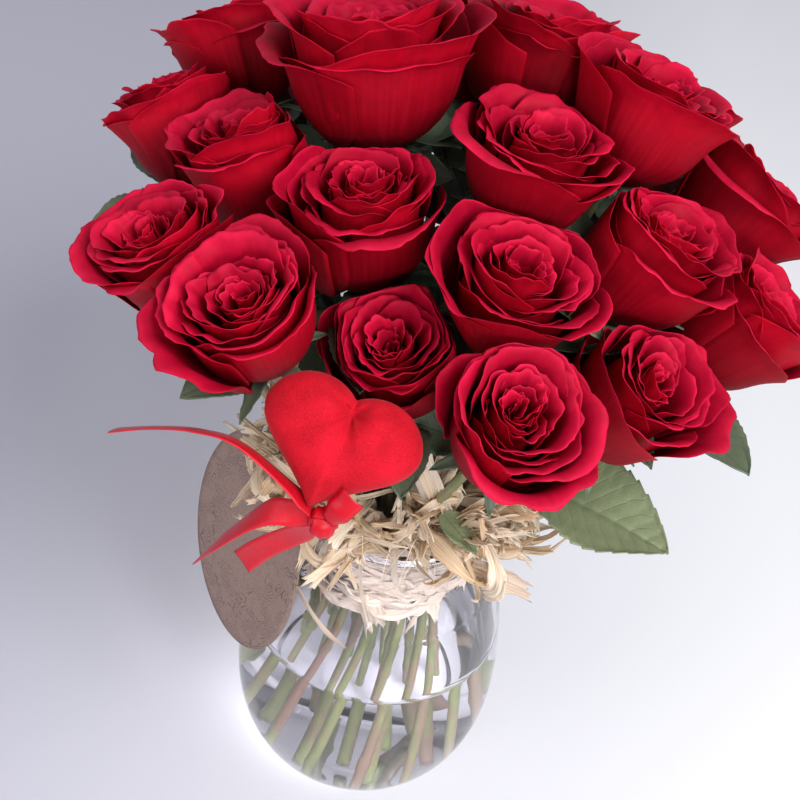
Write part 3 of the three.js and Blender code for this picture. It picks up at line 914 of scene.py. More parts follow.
def add_heart(velvet):
    """A stuffed velvet heart: two full lobes, a pulled-in cleft with folds, and puckers along its seam."""
    centre, axes, size = own_axes("heart", (0, -1, 1), (0, 1, 1))
    angle = np.linspace(0, 2 * math.pi, HEART_SIDES, endpoint=False)
    edge = heart_outline(angle)
    pucker = 0.5 * np.sin(23 * angle) + 0.3 * np.sin(37 * angle + 1) + 0.3 * np.sin(11 * angle + 2)
    cleft = np.array([0.03, 0.42])
    sides = []
    for sign in (1, -1):
        share = np.sin(np.linspace(0, math.pi / 2, HEART_RINGS))[:, None]
        x = share * edge * np.cos(angle) * (1 - 0.004 * pucker)
        y = share * edge * np.sin(angle)
        puff = (1 - share**2.3 + 1e-9) ** 0.56 * np.ones_like(x)
        near = np.hypot(x - cleft[0], (y - cleft[1]) * 0.8)
        crease = 0.16 * np.exp(-((x - cleft[0]) / 0.13) ** 2) * ease((y + 0.5) / 0.9)
        dent = 0.50 * np.exp(-((near / 0.17) ** 2)) + crease
        bearing = np.arctan2(y - cleft[1], x - cleft[0])
        waves = np.sin(6 * bearing + 0.6) + 0.5 * np.sin(11 * bearing)
        fold = np.exp(-near / 0.34) * ease(near / 0.1) * waves
        puff = puff * (1 - dent) + 0.08 * fold * (1 - share**6)
        puff += 0.022 * pucker * ease((share - 0.55) / 0.35) * (1 - share) / 0.2
        depth = (0.72 if sign > 0 else 0.42) * size[2] * puff
        sides.append(np.stack([x * 0.56 * size[0], y * 0.60 * size[1], sign * depth], 2))
    turn = math.radians(HEART_TURN)
    spin = np.array([[math.cos(turn), math.sin(turn), 0], [-math.sin(turn), math.cos(turn), 0], [0, 0, 1]])
    front, back = sides
    rings = [front[1:-1], front[-1:], back[1:-1][::-1]]
    points = np.concatenate([front[0, :1], *(ring.reshape(-1, 3) for ring in rings), back[0, :1]])
    faces = turned_faces(2 * HEART_RINGS - 3, HEART_SIDES, reverse=True)
    heart = one_piece("velvet_heart", points, faces, FULL, velvet, "velvet", "heart",
                      lambda p: (p @ spin) @ axes + centre)


RIBBON_WIDTH = 11 * MM
RIBBON_THICKNESS = 0.5 * MM


def ribbon_grid(path, width_way, widths, curl=0.0, columns=7):
    """A strip along a path. width_way holds its sideways direction at a few places, and curl bows it."""
    ways = smooth_path(width_way, len(path))
    tangent = unit_rows(np.gradient(path, axis=0))
    ways = unit_rows(ways - tangent * np.sum(ways * tangent, axis=1, keepdims=True))
    normal = np.cross(tangent, ways)
    u = np.linspace(-0.5, 0.5, columns)
    half = np.asarray(widths)[:, None, None]
    bow = (u**2 - 0.25)[None, :, None] * curl * half
    return path[:, None, :] + ways[:, None, :] * u[None, :, None] * half + normal[:, None, :] * bow


def path_length(path):
    """How long a path is, in metres."""
    return float(np.sum(np.linalg.norm(np.diff(path, axis=0), axis=1)))


# Each ribbon tail: its route from the knot and the way its width lies, both in mm from the knot's middle.
TAILS = {
    "ribbon_tail_1": dict(
        route=[(-5, 2, 2), (-15, 4, 12), (-36, 8, 26), (-54, 16, 21), (-73, 26, 8), (-92, 34, -6)],
        width=[(0, 0.8, 0.1), (0.1, 0.8, -0.5), (0.1, 0.8, -0.6), (0.2, 0.8, -0.6), (0.2, 0.8, -0.5)],
        end="slant"),
    "ribbon_tail_2": dict(
        route=[(-5, 1, -1), (-21, 4, -4), (-39, 8, -29), (-53, 14, -57)],
        width=[(0, 0.2, 1), (0.3, 0.8, 0.8), (0.3, 1, 0.2), (0.2, 1, 0)], end="point"),
    "ribbon_tail_3": dict(
        route=[(-3, 0, -4), (-14, 6, -20), (-24, 8, -32), (-32, 11, -46)],
        width=[(1, -0.2, 0.3), (1, -0.1, -0.4), (0.8, -0.1, -0.7), (0.9, -0.4, -0.6)], end="cut"),
}


def end_widths(kind, rows):
    """A tail's width along it, as shares of the ribbon's, from gathered at the knot to its end."""
    s = np.linspace(0, 1, rows)
    width = 0.45 + 0.55 * ease(s / 0.16)
    if kind == "point":
        width *= 1 - 0.94 * np.clip((s - 0.72) / 0.28, 0, 1)
    return width


def add_ribbon(satin):
    """The knot, its three tails and the folded end above it."""
    low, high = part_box("ribbon_knot")
    knot_middle = np.array((Vector(low) + Vector(high)) / 2)
    _, axes, _ = own_axes("heart", (0, -1, 1), (0, 1, 1))
    knot = knot_piece(knot_middle, axes, satin)
    rows = 60
    for name, tail in TAILS.items():
        path = smooth_path(np.array(tail["route"]) * MM + knot_middle, rows)
        length = path_length(path)
        widths = RIBBON_WIDTH * end_widths(tail["end"], rows)
        grid = ribbon_grid(path, np.array(tail["width"], float), widths, 0.12)
        if tail["end"] != "point":
            slant = np.linspace(-1, 1, grid.shape[1])[:, None] * (0.05 if tail["end"] == "cut" else 0.04)
            ahead = grid[-1] - grid[-8]
            grid[-8:] += np.linspace(0, 1, 8)[:, None, None] * slant * ahead * 4
        points, faces = shell(grid, RIBBON_THICKNESS)
        paint = np.full((len(points), 4), 0.5)
        along = np.repeat(np.linspace(0, 1, rows), grid.shape[1])
        across = np.tile(np.linspace(0, 1, grid.shape[1]), rows)
        paint[:, 0] = np.tile(along * length / RIBBON_WIDTH, 2)
        paint[:, 1] = np.tile(across, 2)
        piece = one_piece(name + "_satin", points, faces, paint, satin, "satin", name)
    add_tab(knot_middle, axes, satin)


def knot_piece(middle, axes, satin):
    """The ribbon's knot: folded bands of satin wrapped tightly round each other."""
    soup = Soup()
    right, up, face = axes
    turns = [(0.0, 4.6, 6.2, 0.3), (0.9, 4.1, 5.6, -0.5), (-0.9, 4.3, 5.2, 0.8), (2.1, 3.9, 4.8, 0.1)]
    for lean, radius, tall, phase in turns:
        a = np.linspace(0, 2 * math.pi, 48)
        wide = math.cos(lean) * right + math.sin(lean) * up
        tall_way = -math.sin(lean) * right + math.cos(lean) * up
        path = middle + (np.cos(a + phase)[:, None] * radius * face
                         + np.sin(a + phase)[:, None] * tall * tall_way) * MM
        u = np.linspace(-1, 1, 7)
        pleat = 0.35 * np.cos(3 * math.pi * u)[None, :] * (1 + 0 * a[:, None])
        out = unit_rows(path - middle)
        grid = path[:, None, :] + (u[None, :, None] * wide * 4.4 + out[:, None, :] * pleat[..., None]
                                   - out[:, None, :] * (u**2)[None, :, None] * 1.6) * MM
        soup.add(*shell(grid, 0.6 * MM), HALF)
    return soup.build("ribbon_knot_satin", satin, "satin", "ribbon_knot")


def add_tab(middle, axes, satin):
    """The folded end that stands up from the knot over the heart."""
    rows = 24
    route = [(2, 2, 5), (5, 6, 8.5), (8, 10, 10.5), (10, 13, 12)]
    path = smooth_path(middle + np.array(route) @ axes * MM, rows)
    ways = np.array([(1, -0.6, 0.1), (1, -0.5, 0.3), (1, -0.4, 0.1)]) @ axes
    widths = RIBBON_WIDTH * (0.55 + 0.45 * ease(np.linspace(0, 1, rows) / 0.4))
    grid = ribbon_grid(path, ways, widths, 0.7)
    piece = one_piece("ribbon_tab_satin", *shell(grid, RIBBON_THICKNESS), HALF, satin, "satin")


CARD_SIDES = 160
CARD_RINGS = (0.2, 0.4, 0.6, 0.8, 0.93, 1.0)  # shares of its half widths
CARD_BOW = 1.4 * MM


def add_card(kraft):
    """The oval card, very slightly bowed, blank apart from its printed line pattern."""
    centre, axes, size = own_axes("gift_card", (-1, -0.6, 0), (0, 0, 1))
    turn = np.linspace(0, 2 * math.pi, CARD_SIDES, endpoint=False)
    parts = [np.array([[0, 0, size[2] / 2]])]
    for sign in (1, -1):
        for share in CARD_RINGS[::sign]:
            x = share * np.cos(turn) * size[0] / 2
            y = share * np.sin(turn) * size[1] / 2
            parts.append(np.stack([x, y, np.full(CARD_SIDES, sign * size[2] / 2)], 1))
    parts.append(np.array([[0, 0, -size[2] / 2]]))
    points = np.concatenate(parts)
    points[:, 2] -= CARD_BOW * ((points[:, 1] / (size[1] / 2)) ** 2)
    faces = turned_faces(2 * len(CARD_RINGS), CARD_SIDES, reverse=True)
    paint = np.ones((len(points), 4))
    paint[:, 0] = points[:, 0] / size[1] + 0.5
    paint[:, 1] = points[:, 1] / size[1] + 0.5
    paint[:, 2] = np.hypot(points[:, 0] / (size[0] / 2), points[:, 1] / (size[1] / 2))
    one_piece("oval_card", points, faces, paint, kraft, "card", "gift_card", lambda p: p @ axes + centre)


# ---------------------------------------------------------------- raffia


def husk(path, width, chance, fold, twist, end):
    """A strip of dry husk along a path: creased along its middle, twisted and ragged at its far end.
    twist holds its turn at the start, its turn at the end and the phase of its waves, in radians."""
    rows = len(path)
    s = np.linspace(0, 1, rows)
    phase = twist[2]
    tangent = unit_rows(np.gradient(path, axis=0), TINY)
    out = path - np.array([0, 0, path[:, 2].mean()])
    out[:, 2] = 0
    side = unit_rows(np.cross(tangent, unit_rows(out, TINY)), TINY)
    normal = np.cross(side, tangent)
    turn = twist[0] + (twist[1] - twist[0]) * s + 0.35 * np.sin(9 * s + phase)
    way = np.cos(turn)[:, None] * side + np.sin(turn)[:, None] * normal
    face = -np.sin(turn)[:, None] * side + np.cos(turn)[:, None] * normal
    u = np.linspace(-1, 1, 9)
    half = width / 2 * (0.75 + 0.25 * np.sin(6 * s + phase)) * (1 - (1 - end) * ease((s - 0.7) / 0.3))
    half = half * (0.5 + 0.5 * ease(s / 0.2))
    crease = fold * np.abs(u) + 0.16 * np.cos(2 * math.pi * (1.2 * u + phase))
    lengthwise, crosswise = s[:, None], u[None, :]
    crumple = (0.20 * np.sin(13 * lengthwise + 3.1 * crosswise + phase)
               * np.sin(4.3 * crosswise + 9 * lengthwise))
    grid = path[:, None, :] + way[:, None, :] * (crosswise * half[:, None])[..., None]
    grid += face[:, None, :] * ((crease[None, :] + crumple) * half[:, None])[..., None]
    edge_rip = 0.14 * np.sin(31 * s + phase) * half
    grid[:, 0] -= way * edge_rip[:, None]
    grid[:, -1] += way * edge_rip[:, None]
    ragged = np.array([chance.uniform(-1, 1) for _ in u])[:, None] * 0.5 * width * end
    grid[-1] += tangent[-1] * ragged
    grid[-2] += tangent[-1] * ragged * 0.45
    points, faces = shell(grid, 0.25 * MM)
    paint = np.ones((len(points), 4)) * chance.random()
    paint[:, 0] = np.tile(np.repeat(s, len(u)), 2)
    paint[:, 1] = np.tile(np.tile((u + 1) / 2, rows), 2)
    # The fourth channel is the strip's share of painted glass haze, here at random; add_raffia sets it again
    # for most kinds.
    paint[:, 3] = chance.random()
    return points, faces, paint


def polar(radius, degrees, z):
    """A point from its distance to the axis in mm, its bearing in degrees and its height in mm."""
    turn = math.radians(degrees)
    return np.array([radius * MM * math.cos(turn), radius * MM * math.sin(turn), z * MM])


def keep_off_glass(path, out_wall, rim):
    """Moves points that lie in the glass wall out of it, inside or outside, whichever is nearer."""
    radius = np.hypot(path[:, 0], path[:, 1])
    outer = np.interp(path[:, 2], out_wall[:, 1], out_wall[:, 0])
    inner = outer - 4.2 * MM
    below = path[:, 2] < rim + 1.2 * MM
    middle = outer - 1.3 * MM
    wanted = np.where(radius < middle, np.minimum(radius, inner), np.maximum(radius, outer + 1.2 * MM))
    scale = np.where(below, wanted / radius, 1.0)
    path[:, :2] *= scale[:, None]
    return path


# Bearings in degrees between which the raffia mostly leaves the glass rim free.
RIM_IN_VIEW = (-122, -54)


def rim_left_free(chance, bearing, share):
    """Whether a strip at this bearing is one of the share left out, so that the glass rim shows."""
    return RIM_IN_VIEW[0] < bearing - 360 < RIM_IN_VIEW[1] and chance.random() < share


# The makers below each give the paths of one kind of strip, with the phase of its waves where the path
# shares it. Lengths are in mm and bearings in degrees.


def nest_paths(chance):
    """Strips wound round inside the neck, seen through the glass."""
    for _ in range(300):
        start = chance.uniform(0, 360)
        sweep = chance.choice([-1, 1]) * chance.uniform(30, 110)
        r0, r1 = chance.uniform(34, 44), chance.uniform(38, 44)
        z0, z1 = chance.uniform(154, 198), chance.uniform(150, 200)
        wave = chance.uniform(0, 6.28)
        path = [polar(r0 + (r1 - r0) * t + 2.5 * math.sin(8 * t + wave), start + sweep * t,
                      z0 + (z1 - z0) * t + 4.5 * math.sin(5 * t + wave)) for t in np.linspace(0, 1, 26)]
        yield path, wave


def fringe_paths(chance):
    """Strips that hang down inside the bowl from the underside of the nest."""
    for _ in range(110):
        start = chance.uniform(0, 360)
        spin = chance.uniform(-16, 16)
        top, foot = chance.uniform(28, 43), chance.uniform(28, 47)
        low = chance.uniform(132, 156)
        wave = chance.uniform(-4, 4)
        knots = [polar(top, start - 0.5 * spin, chance.uniform(160, 176)),
                 polar(0.5 * (top + foot) + wave, start + 0.4 * spin, 0.5 * (165 + low) + 3),
                 polar(foot, start + spin, low)]
        yield smooth_path(knots, 14), None


def curled_paths(chance):
    """Crumpled husks heaped on the rim: each curls along its own turning route round the heap's middle."""
    for _ in range(260):
        bearing = chance.uniform(0, 360)
        if rim_left_free(chance, bearing, 0.75):
            continue
        here = polar(chance.uniform(47, 66), bearing, chance.uniform(212, 244))
        ahead = unit(np.array([chance.uniform(-1, 1) for _ in range(3)]) * (1, 1, 0.6), TINY)
        axis = unit(np.array([chance.uniform(-1, 1) for _ in range(3)]), TINY)
        bend = chance.uniform(-0.13, 0.13)
        step = chance.uniform(1.4, 2.6) * MM
        path = []
        for _ in range(22):
            path.append(here)
            home = polar(56, math.degrees(math.atan2(here[1], here[0])), 226)
            bent = ahead * math.cos(bend) + np.cross(axis, ahead) * math.sin(bend)
            ahead = unit(bent + (home - here) * 6, TINY)
            here = here + ahead * step
        yield path, None


def collar_paths(chance):
    """Strips that rise out of the neck, fold over the rim and fan outwards."""
    for _ in range(190):
        start = chance.uniform(0, 360)
        if rim_left_free(chance, start, 0.65):
            continue
        front = math.cos(math.radians(start + 90)) * 0.5 + 0.5
        spin = chance.uniform(-35, 35)
        reach = chance.uniform(54, 74 + 14 * front)
        lift = chance.uniform(206, 268)
        rise = chance.uniform(213, 226 + 0.35 * (lift - 206))
        knots = [polar(33, start - 0.4 * spin, chance.uniform(186, 200)),
                 polar(39, start - 0.1 * spin, rise - 6),
                 polar(46, start + 0.1 * spin, rise),
                 polar(46 + 0.5 * (reach - 46), start + 0.5 * spin,
                       0.5 * (rise + lift) + chance.uniform(-5, 7)),
                 polar(reach, start + spin, lift)]
        yield smooth_path(knots, 22), None


def loop_paths(chance):
    """Strips that loop out over the rim and turn back in."""
    for _ in range(70):
        start = chance.uniform(0, 360)
        if rim_left_free(chance, start, 0.6):
            continue
        sweep = chance.choice([-1, 1]) * chance.uniform(18, 60)
        top = chance.uniform(214, 256)
        far = chance.uniform(50, 72)
        knots = [polar(35, start, 196), polar(42, start + 0.1 * sweep, 214),
                 polar(far, start + 0.4 * sweep, top), polar(far - 3, start + 0.7 * sweep, top + 3),
                 polar(43, start + sweep, top - 4)]
        yield smooth_path(knots, 24), None


# Bunches that fan out of the collar: how many strips, the range of bearings at the rim and at the ends
# in degrees, and the ranges of the ends' distance from the axis and height in mm.
BUNCHES = [
    (30, (-66, -34), (-48, -2), (72, 94), (222, 258)),
    (20, (-166, -128), (-176, -132), (66, 88), (226, 262)),
    (16, (-92, -62), (-92, -60), (46, 62), (250, 286)),
    (26, (-72, -48), (-62, -34), (70, 91), (246, 276)),
    (12, (60, 110), (50, 120), (66, 84), (222, 250)),
]


def bunch_paths(chance):
    """Strips that leave the collar together, some of them bent sharply near their end."""
    for count, from_range, to_range, reach_range, lift_range in BUNCHES:
        for _ in range(count):
            start, end = chance.uniform(*from_range), chance.uniform(*to_range)
            reach, lift = chance.uniform(*reach_range), chance.uniform(*lift_range)
            kink = chance.uniform(-9, 9)
            knots = [polar(40, start, 206), polar(45, start, 218),
                     polar(45 + 0.4 * (reach - 45), start + 0.4 * (end - start), 219 + 0.45 * (lift - 219)),
                     polar(45 + 0.8 * (reach - 45), start + 0.8 * (end - start), lift + kink),
                     polar(reach, end, lift)]
            yield smooth_path(knots, 22), None


# Each kind of strip: its paths, its range of widths in mm, the most it folds, leans and twists, how much
# of its width its end keeps, and 1 for painted glass haze, the glass's pale pinkish cast painted on the strip.
STRIPS = [
    (nest_paths, (4, 11), 0.5, 0.5, 1.4, (0.1, 0.8), 1.0),
    (fringe_paths, (4, 11), 0.8, 0.6, 1.6, (0.05, 0.6), 1.0),
    (curled_paths, (3, 13), 1.1, 1, 2.5, (0.2, 1.0), 0.0),
    (collar_paths, (4, 14), 0.9, 0.6, 1.8, (0.05, 0.9), 0.0),
    (loop_paths, (2.5, 9), 1.0, 0.6, 2.2, (0.2, 0.9), 0.0),
    (bunch_paths, (3, 11), 1, 1.2, 2, (0.1, 0.9), 0.0),
]

# Strands that hang clear of the rest: (radius, bearing, height) in mm and degrees, then the width in mm.
HANGING = [
    ([(46, -134, 213), (60, -146, 208), (67, -142, 190), (65, -128, 170), (65, -112, 155),
      (65, -101, 148)], 5.5),
    ([(44, -70, 214), (54, -64, 219), (66, -54, 218), (78, -45, 213), (90, -38, 208)], 17.0),
    ([(42, -54, 205), (46, -57, 222), (52, -65, 238), (58, -76, 266), (63, -88, 298)], 9.0),
    ([(40, -52, 205), (46, -52, 222), (54, -61, 240), (60, -72, 266), (64, -84, 300)], 11.0),
    ([(42, -58, 205), (46, -61, 222), (51, -69, 238), (57, -80, 264), (62, -91, 292)], 8.0),
    ([(45, -60, 212), (52, -58, 228), (60, -57, 246), (68, -56, 254), (77, -52, 250)], 13.0),
    ([(45, -56, 212), (52, -53, 226), (61, -50, 243), (70, -47, 250), (80, -43, 244)], 14.0),
    ([(44, -140, 214), (57, -146, 212), (66, -154, 206), (72, -158, 196)], 4.5),
    ([(45, -104, 214), (54, -103, 211), (57, -101, 198), (57, -98, 182), (60, -92, 168)], 4.0),
    ([(45, -88, 214), (54, -86, 211), (56, -84, 200), (55, -80, 190)], 6.0),
    ([(45, -120, 214), (55, -121, 210), (58, -124, 196), (58, -119, 182)], 3.5),
    ([(44, 20, 213), (57, 26, 212), (68, 34, 204), (76, 36, 192)], 6.0),
    ([(44, 100, 213), (56, 108, 212), (66, 118, 205), (71, 122, 194)], 7.0),
    ([(44, 160, 213), (57, 166, 213), (68, 172, 208), (76, 176, 200)], 5.0),
]


def add_raffia(material):
    """The raffia in the neck, heaped on the rim and hanging from it, as one piece, and its fibres."""
    chance = random.Random(41)
    outer, _ = vase_profile()
    wall = outer[np.argsort(outer[:, 1])]
    rim = wall[:, 1].max()
    soup = Soup()
    for maker, widths, fold, lean, twist, ends, painted_haze_share in STRIPS:
        for path, phase in maker(chance):
            path = keep_off_glass(np.array(path), wall, rim)
            width, own_fold = chance.uniform(*widths) * MM, chance.uniform(-fold, fold)
            turns = [chance.uniform(-lean, lean), chance.uniform(-twist, twist)]
            turns.append(chance.uniform(0, 6) if phase is None else phase)
            points, faces, paint = husk(path, width, chance, own_fold, turns, chance.uniform(*ends))
            paint[:, 3] = painted_haze_share
            soup.add(points, faces, paint)
    for route, width in HANGING:
        path = smooth_path([polar(*knot) for knot in route], 30)
        fold, turns = chance.uniform(-0.4, 0.4), (0.1, chance.uniform(-0.7, 0.7), 1.0)
        soup.add(*husk(path, width * MM, chance, fold, turns, 0.6))
    soup.build("raffia_strips", material, "raffia", "raffia_nest")
    add_fibres(chance, material)


def add_fibres(chance, material):
    """Thin fibres that stand away from the collar."""
    soup = Soup()
    for _ in range(120):
        start = chance.uniform(0, 360)
        spin = chance.uniform(-30, 30)
        reach = chance.uniform(56, 80)
        knots = [polar(40, start, 212), polar(48, start + 0.2 * spin, chance.uniform(214, 224)),
                 polar((48 + reach) / 2, start + 0.7 * spin, chance.uniform(212, 238)),
                 polar(reach, start + spin, chance.uniform(202, 240))]
        fibre = tube(smooth_path(knots, 16), np.linspace(0.45, 0.18, 16) * MM, 5)
        # The fourth channel is a random share of painted glass haze.
        soup.add(*fibre, [0.5, 0.5, chance.random(), chance.random()])
    soup.build("raffia_fibres", material, "raffia")


# The twig's stem and its two side shoots: (radius, bearing, height) in mm and degrees.
TWIG = [
    [(46.3, -124, 177), (46.3, -117, 175), (46.3, -109, 177), (46.2, -103, 175)],
    [(46.3, -117, 175), (46.2, -111, 180)],
    [(46.3, -110, 177), (46.3, -106, 172)],
]


def add_twig(material):
    """A small dark twig caught in the raffia behind the glass."""
    soup = Soup()
    for knots in TWIG:
        path = smooth_path([polar(*knot) for knot in knots], 14)
        soup.add(*tube(path, np.linspace(0.75, 0.3, 14) * MM, 7), HALF)
    soup.build("twig", material, "stick")


# ---------------------------------------------------------------- leaves


LEAF_TEETH = 11
SIDE_VEINS = 8.5
FOLIAGE_GRID = (26, 11)  # rows and columns of the smaller leaves
MODELLED_GRID = (70, 25)
STALK_PAINT = [0.05, 0.5, 0.5, 0.5]


def leaf_blade(length, width, chance, droop, cup, rows, columns):
    """One serrated leaf as a grid, foot at the origin, pointing along +X with its face up."""
    s = np.linspace(0, 1, rows)[:, None]
    u = np.linspace(-1, 1, columns)[None, :]
    outline = np.sin(math.pi * np.clip(s, 0, 1) ** 0.88) ** 0.72 * (1 - 0.12 * s)
    notch = 1 - 0.075 * ((s * LEAF_TEETH + 0.15) % 1.0)
    half = width / 2 * outline * notch + 0.2 * MM
    y = u * half
    x = s * length + 0.10 * length * np.abs(u) * outline * (0.4 - s) * 0.6
    z = cup * (u**2) * half - droop * length * s**1.8
    vein_at = (s - 0.33 * np.abs(u) * outline) * SIDE_VEINS
    groove = np.exp(-(((vein_at - np.round(vein_at)) / 0.11) ** 2)) * (1 - np.abs(u) ** 3)
    middle = np.exp(-((u / 0.07) ** 2))
    z = z - 0.5 * MM * groove * (length / 0.06) - 0.9 * MM * middle * (length / 0.06)
    z = (z + 0.8 * MM * np.sin(7 * s + chance.uniform(0, 6)) * u
         + 0.7 * MM * np.cos(11 * s * u + chance.uniform(0, 6)) * u**2)
    grid = np.stack([x, y + 0 * s, z], 2)
    paint = np.stack([s + 0 * u, (u + 1) / 2 + 0 * s, np.full((rows, columns), chance.random())], 2)
    return grid, paint.reshape(-1, 3)


def leaf_piece(soup, foot, ahead, up, length, width, chance, droop, cup, rows_columns):
    """Adds a leaf that starts at foot and points ahead, its face towards up."""
    grid, paint = leaf_blade(length, width, chance, droop, cup, *rows_columns)
    ahead = unit(ahead)
    up = unit(up - ahead * (up @ ahead))
    axes = np.stack([ahead, np.cross(up, ahead), up])
    grid = grid @ axes + foot
    one_way, other_way = grid[1:, 1:] - grid[:-1, :-1], grid[1:, :-1] - grid[:-1, 1:]
    face_down = np.mean(np.cross(one_way, other_way) @ up) > 0
    soup.add(*shell(grid, 0.42 * MM), two_sides(paint, face_down))


# The share of a modelled leaf's length that shows, and how much wider than its CAD node it is.
LEAF_SHARE = {2: 0.56}
LEAF_WIDTH = {1: 1.32}


def add_leaves(places, material):
    """The six modelled leaves, with their stalks."""
    every = np.concatenate([smooth_path(place["rings"], 60) for place in places.values()])
    for number in range(1, 7):
        chance = random.Random(700 + number)
        points = node_points(f"leaf_{number}")
        centre = points.mean(0)
        _, axes = np.linalg.eigh(np.cov((points - centre).T))
        ahead = axes[:, 2]
        along = (points - centre) @ ahead
        ends = [centre + ahead * along.min(), centre + ahead * along.max()]
        gaps = [np.linalg.norm(every - end, axis=1).min() for end in ends]
        foot, tip = ends if gaps[0] < gaps[1] else ends[::-1]
        up = axes[:, 0] * (1 if axes[2, 0] > 0 else -1)
        width = np.ptp((points - centre) @ axes[:, 1])
        soup = Soup()
        tip = foot + (tip - foot) * LEAF_SHARE.get(number, 1.0)
        length = np.linalg.norm(tip - foot)
        width *= LEAF_SHARE.get(number, 1.0) * LEAF_WIDTH.get(number, 1.0)
        leaf_piece(soup, foot + (tip - foot) * 0.08, tip - foot, up, length * 0.93, width * 1.04, chance,
                   0.12, 0.22, MODELLED_GRID)
        near = every[np.linalg.norm(every - foot, axis=1).argmin()]
        stalk = smooth_path([near, foot, foot + (tip - foot) * 0.12], 10)
        soup.add(*tube(stalk, np.linspace(1.3, 0.8, 10) * MM, 8), STALK_PAINT)
        soup.build(f"leaf_{number}_blade", material, "leaf", f"leaf_{number}")


# Points in mm between the heads where a dark leaf shows instead of the floor behind: painted shade for the
# deep shadow there.
GAP_POINTS = [(-96, 141, 335), (-84, 120, 334), (0, 2, 334), (-11, 16, 335), (2, -10, 331)]
VIEW_SIDE = (1.0, 0.0, 0.0)  # sideways across the photo's view, so that these leaves face it


def add_gap_leaves(places, material):
    """A dark leaf through each gap between the heads, grown from the nearest stem below it, as painted shade
    between them.
    """
    chance = random.Random(77)
    soup = Soup()
    routes = np.concatenate([stem_route(place)[40:92] for place in places.values()])
    for point in GAP_POINTS:
        goal = np.array(point) * MM
        below = routes[routes[:, 2] < goal[2] - 15 * MM]
        here = below[np.argmin(np.linalg.norm(below - goal, axis=1))]
        ahead = unit(goal - here, TINY)
        stalk = smooth_path([here, here + ahead * 6 * MM, here + ahead * 12 * MM], 8)
        soup.add(*tube(stalk, np.linspace(1.0, 0.6, 8) * MM, 6), STALK_PAINT)
        side = unit(np.cross(ahead, VIEW_SIDE), TINY)
        length = np.linalg.norm(goal - here) + 22 * MM
        leaf_piece(soup, stalk[-1], ahead, side, length, length * 0.7, chance, 0.1, 0.2, FOLIAGE_GRID)
    soup.build("gap_leaves", material, "leaf", move=inside_box)


# Where each group of three leaves grows, as a share of its stem's length, and its middle leaf's length in mm.
FOLIAGE = [(0.79, 42), (0.85, 50), (0.905, 52), (0.95, 46)]


def add_foliage(places, material):
    """More leaves on each stem, in threes close under its head, where they fill the gaps between heads with
    painted shade.
    """
    for label, place, chance in each_rose(places, 900):
        path = stem_route(place)
        soup = Soup()
        bearing = chance.uniform(0, 2 * math.pi)
        for share, size in FOLIAGE:
            at = int((share + chance.uniform(-0.015, 0.015)) * 99)
            here = path[at]
            if here[1] < -14 * MM and share < 0.94:
                continue
            stem_way = unit(path[min(at + 1, 99)] - path[at - 1])
            bearing += math.radians(GOLDEN_TURN)
            out = np.array([math.cos(bearing), math.sin(bearing), 0.0])
            away = np.array([here[0], here[1], 0]) / (np.hypot(here[0], here[1]) + 1e-9)
            out = unit(out + 0.45 * away)
            ahead = unit(out * 0.85 + stem_way * 0.5)
            stalk = smooth_path([here, here + ahead * 8 * MM, here + ahead * 20 * MM + out * 4 * MM], 10)
            soup.add(*tube(stalk, np.linspace(1.0, 0.6, 10) * MM, 6), STALK_PAINT)
            side = unit(np.cross(ahead, np.array([0, 0, 1.0])))
            up = np.cross(side, ahead)
            length = size * chance.uniform(0.85, 1.1) * MM
            droop = chance.uniform(0.1, 0.4)
            leaf_piece(soup, stalk[-1], ahead + out * 0.3, up, length, length * 0.66, chance,
                       droop, 0.35, FOLIAGE_GRID)
            for sign in (-1, 1):
                way = ahead * 0.5 + side * sign * 0.9
                small = length * chance.uniform(0.65, 0.85)
                leaf_piece(soup, stalk[5], way, up, small, small * 0.68, chance, droop, 0.35, FOLIAGE_GRID)
        soup.build(label + "_leaves", material, "leaf", move=inside_box)


# ---------------------------------------------------------------- floor and light


FLOOR_HALF = 40.0


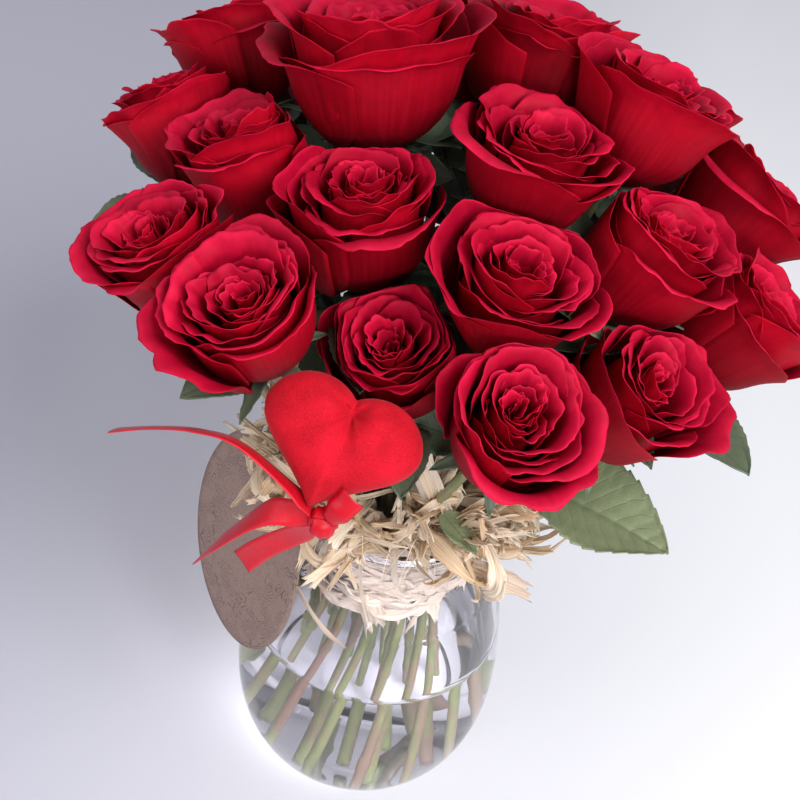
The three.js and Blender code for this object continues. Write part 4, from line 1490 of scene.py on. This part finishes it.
def add_floor():
    """A plain floor with painted shade: greyer and darker towards the left, paler towards the right."""
    material, tree, shader = new_material("backdrop", Roughness=0.7, Specular_IOR_Level=0.2)
    place = tree.nodes.new("ShaderNodeSeparateXYZ")
    tree.links.new(tree.nodes.new("ShaderNodeTexCoord").outputs["Object"], place.inputs[0])
    # Painted shade: the floor's colour darkens from right to left, standing in for the shading on its left
    # side.
    across = math_node(tree, "ADD", math_node(tree, "MULTIPLY", place.outputs[0], 1.4), 0.5)
    base_colour(tree, shader, ramp(tree, across, [(0.1, (0.48, 0.47, 0.55)), (0.9, (0.81, 0.81, 0.84))]))
    corners = [(x * FLOOR_HALF, y * FLOOR_HALF, 0) for x, y in ((-1, -1), (1, -1), (1, 1), (-1, 1))]
    mesh = bpy.data.meshes.new("floor")
    mesh.from_pydata(corners, [], [(0, 1, 2, 3)])
    mesh.materials.append(material)
    floor = bpy.data.objects.new("floor", mesh)
    bpy.context.collection.objects.link(floor)


# Each lamp: where it is, what it is aimed at, its width in metres and its power in watts.
LAMPS = {
    "key": ((0.75, -0.75, 1.45), (0, 0, 0.3), 0.95, 24),
    "fill": ((-1.1, -0.7, 0.9), (0, 0, 0.3), 0.9, 5),
    "front": ((0.35, -1.4, 0.8), (0, 0, 0.25), 0.5, 7),
}
WORLD_COLOUR = (0.93, 0.94, 1.0, 1)
WORLD_STRENGTH = 0.54


def add_lights():
    """Round lamps in a pale even room."""
    world = bpy.data.worlds.new("studio")
    world.use_nodes = True
    background = world.node_tree.nodes["Background"]
    background.inputs["Color"].default_value = WORLD_COLOUR
    background.inputs["Strength"].default_value = WORLD_STRENGTH
    bpy.context.scene.world = world
    for name, (place, target, size, power) in LAMPS.items():
        data = bpy.data.lights.new(name, "AREA")
        data.shape = "DISK"
        data.size = size
        data.energy = power
        lamp = bpy.data.objects.new(name, data)
        bpy.context.collection.objects.link(lamp)
        lamp.location = place
        lamp.rotation_euler = (Vector(target) - Vector(place)).to_track_quat("-Z", "Y").to_euler()


add_camera()
bright_leaf = leaf_material("leaf", (0.15, 0.20, 0.085), (0.09, 0.135, 0.06), (0.22, 0.26, 0.14))
# A copy of the leaf look painted much darker: painted shade for the sepals, the foliage and the gap leaves
# deep among the heads.
shade_painted_leaf = leaf_material("leaf_painted_shade", (0.045, 0.085, 0.035), (0.02, 0.045, 0.02), (0.13, 0.18, 0.11))
places = add_roses(petal_material())
add_sepals(places, shade_painted_leaf)
add_stems(places, stem_material())
add_vase(glass_material(), water_material())
add_heart(velvet_material())
add_ribbon(satin_material())
add_card(kraft_material())
add_raffia(raffia_material())
add_twig(twig_material())
add_leaves(places, bright_leaf)
add_foliage(places, shade_painted_leaf)
add_gap_leaves(places, shade_painted_leaf)
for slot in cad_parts["heart_stick"].material_slots:
    slot.material = stick_material()
add_floor()
add_lights()
bpy.context.scene.view_settings.view_transform = "Standard"
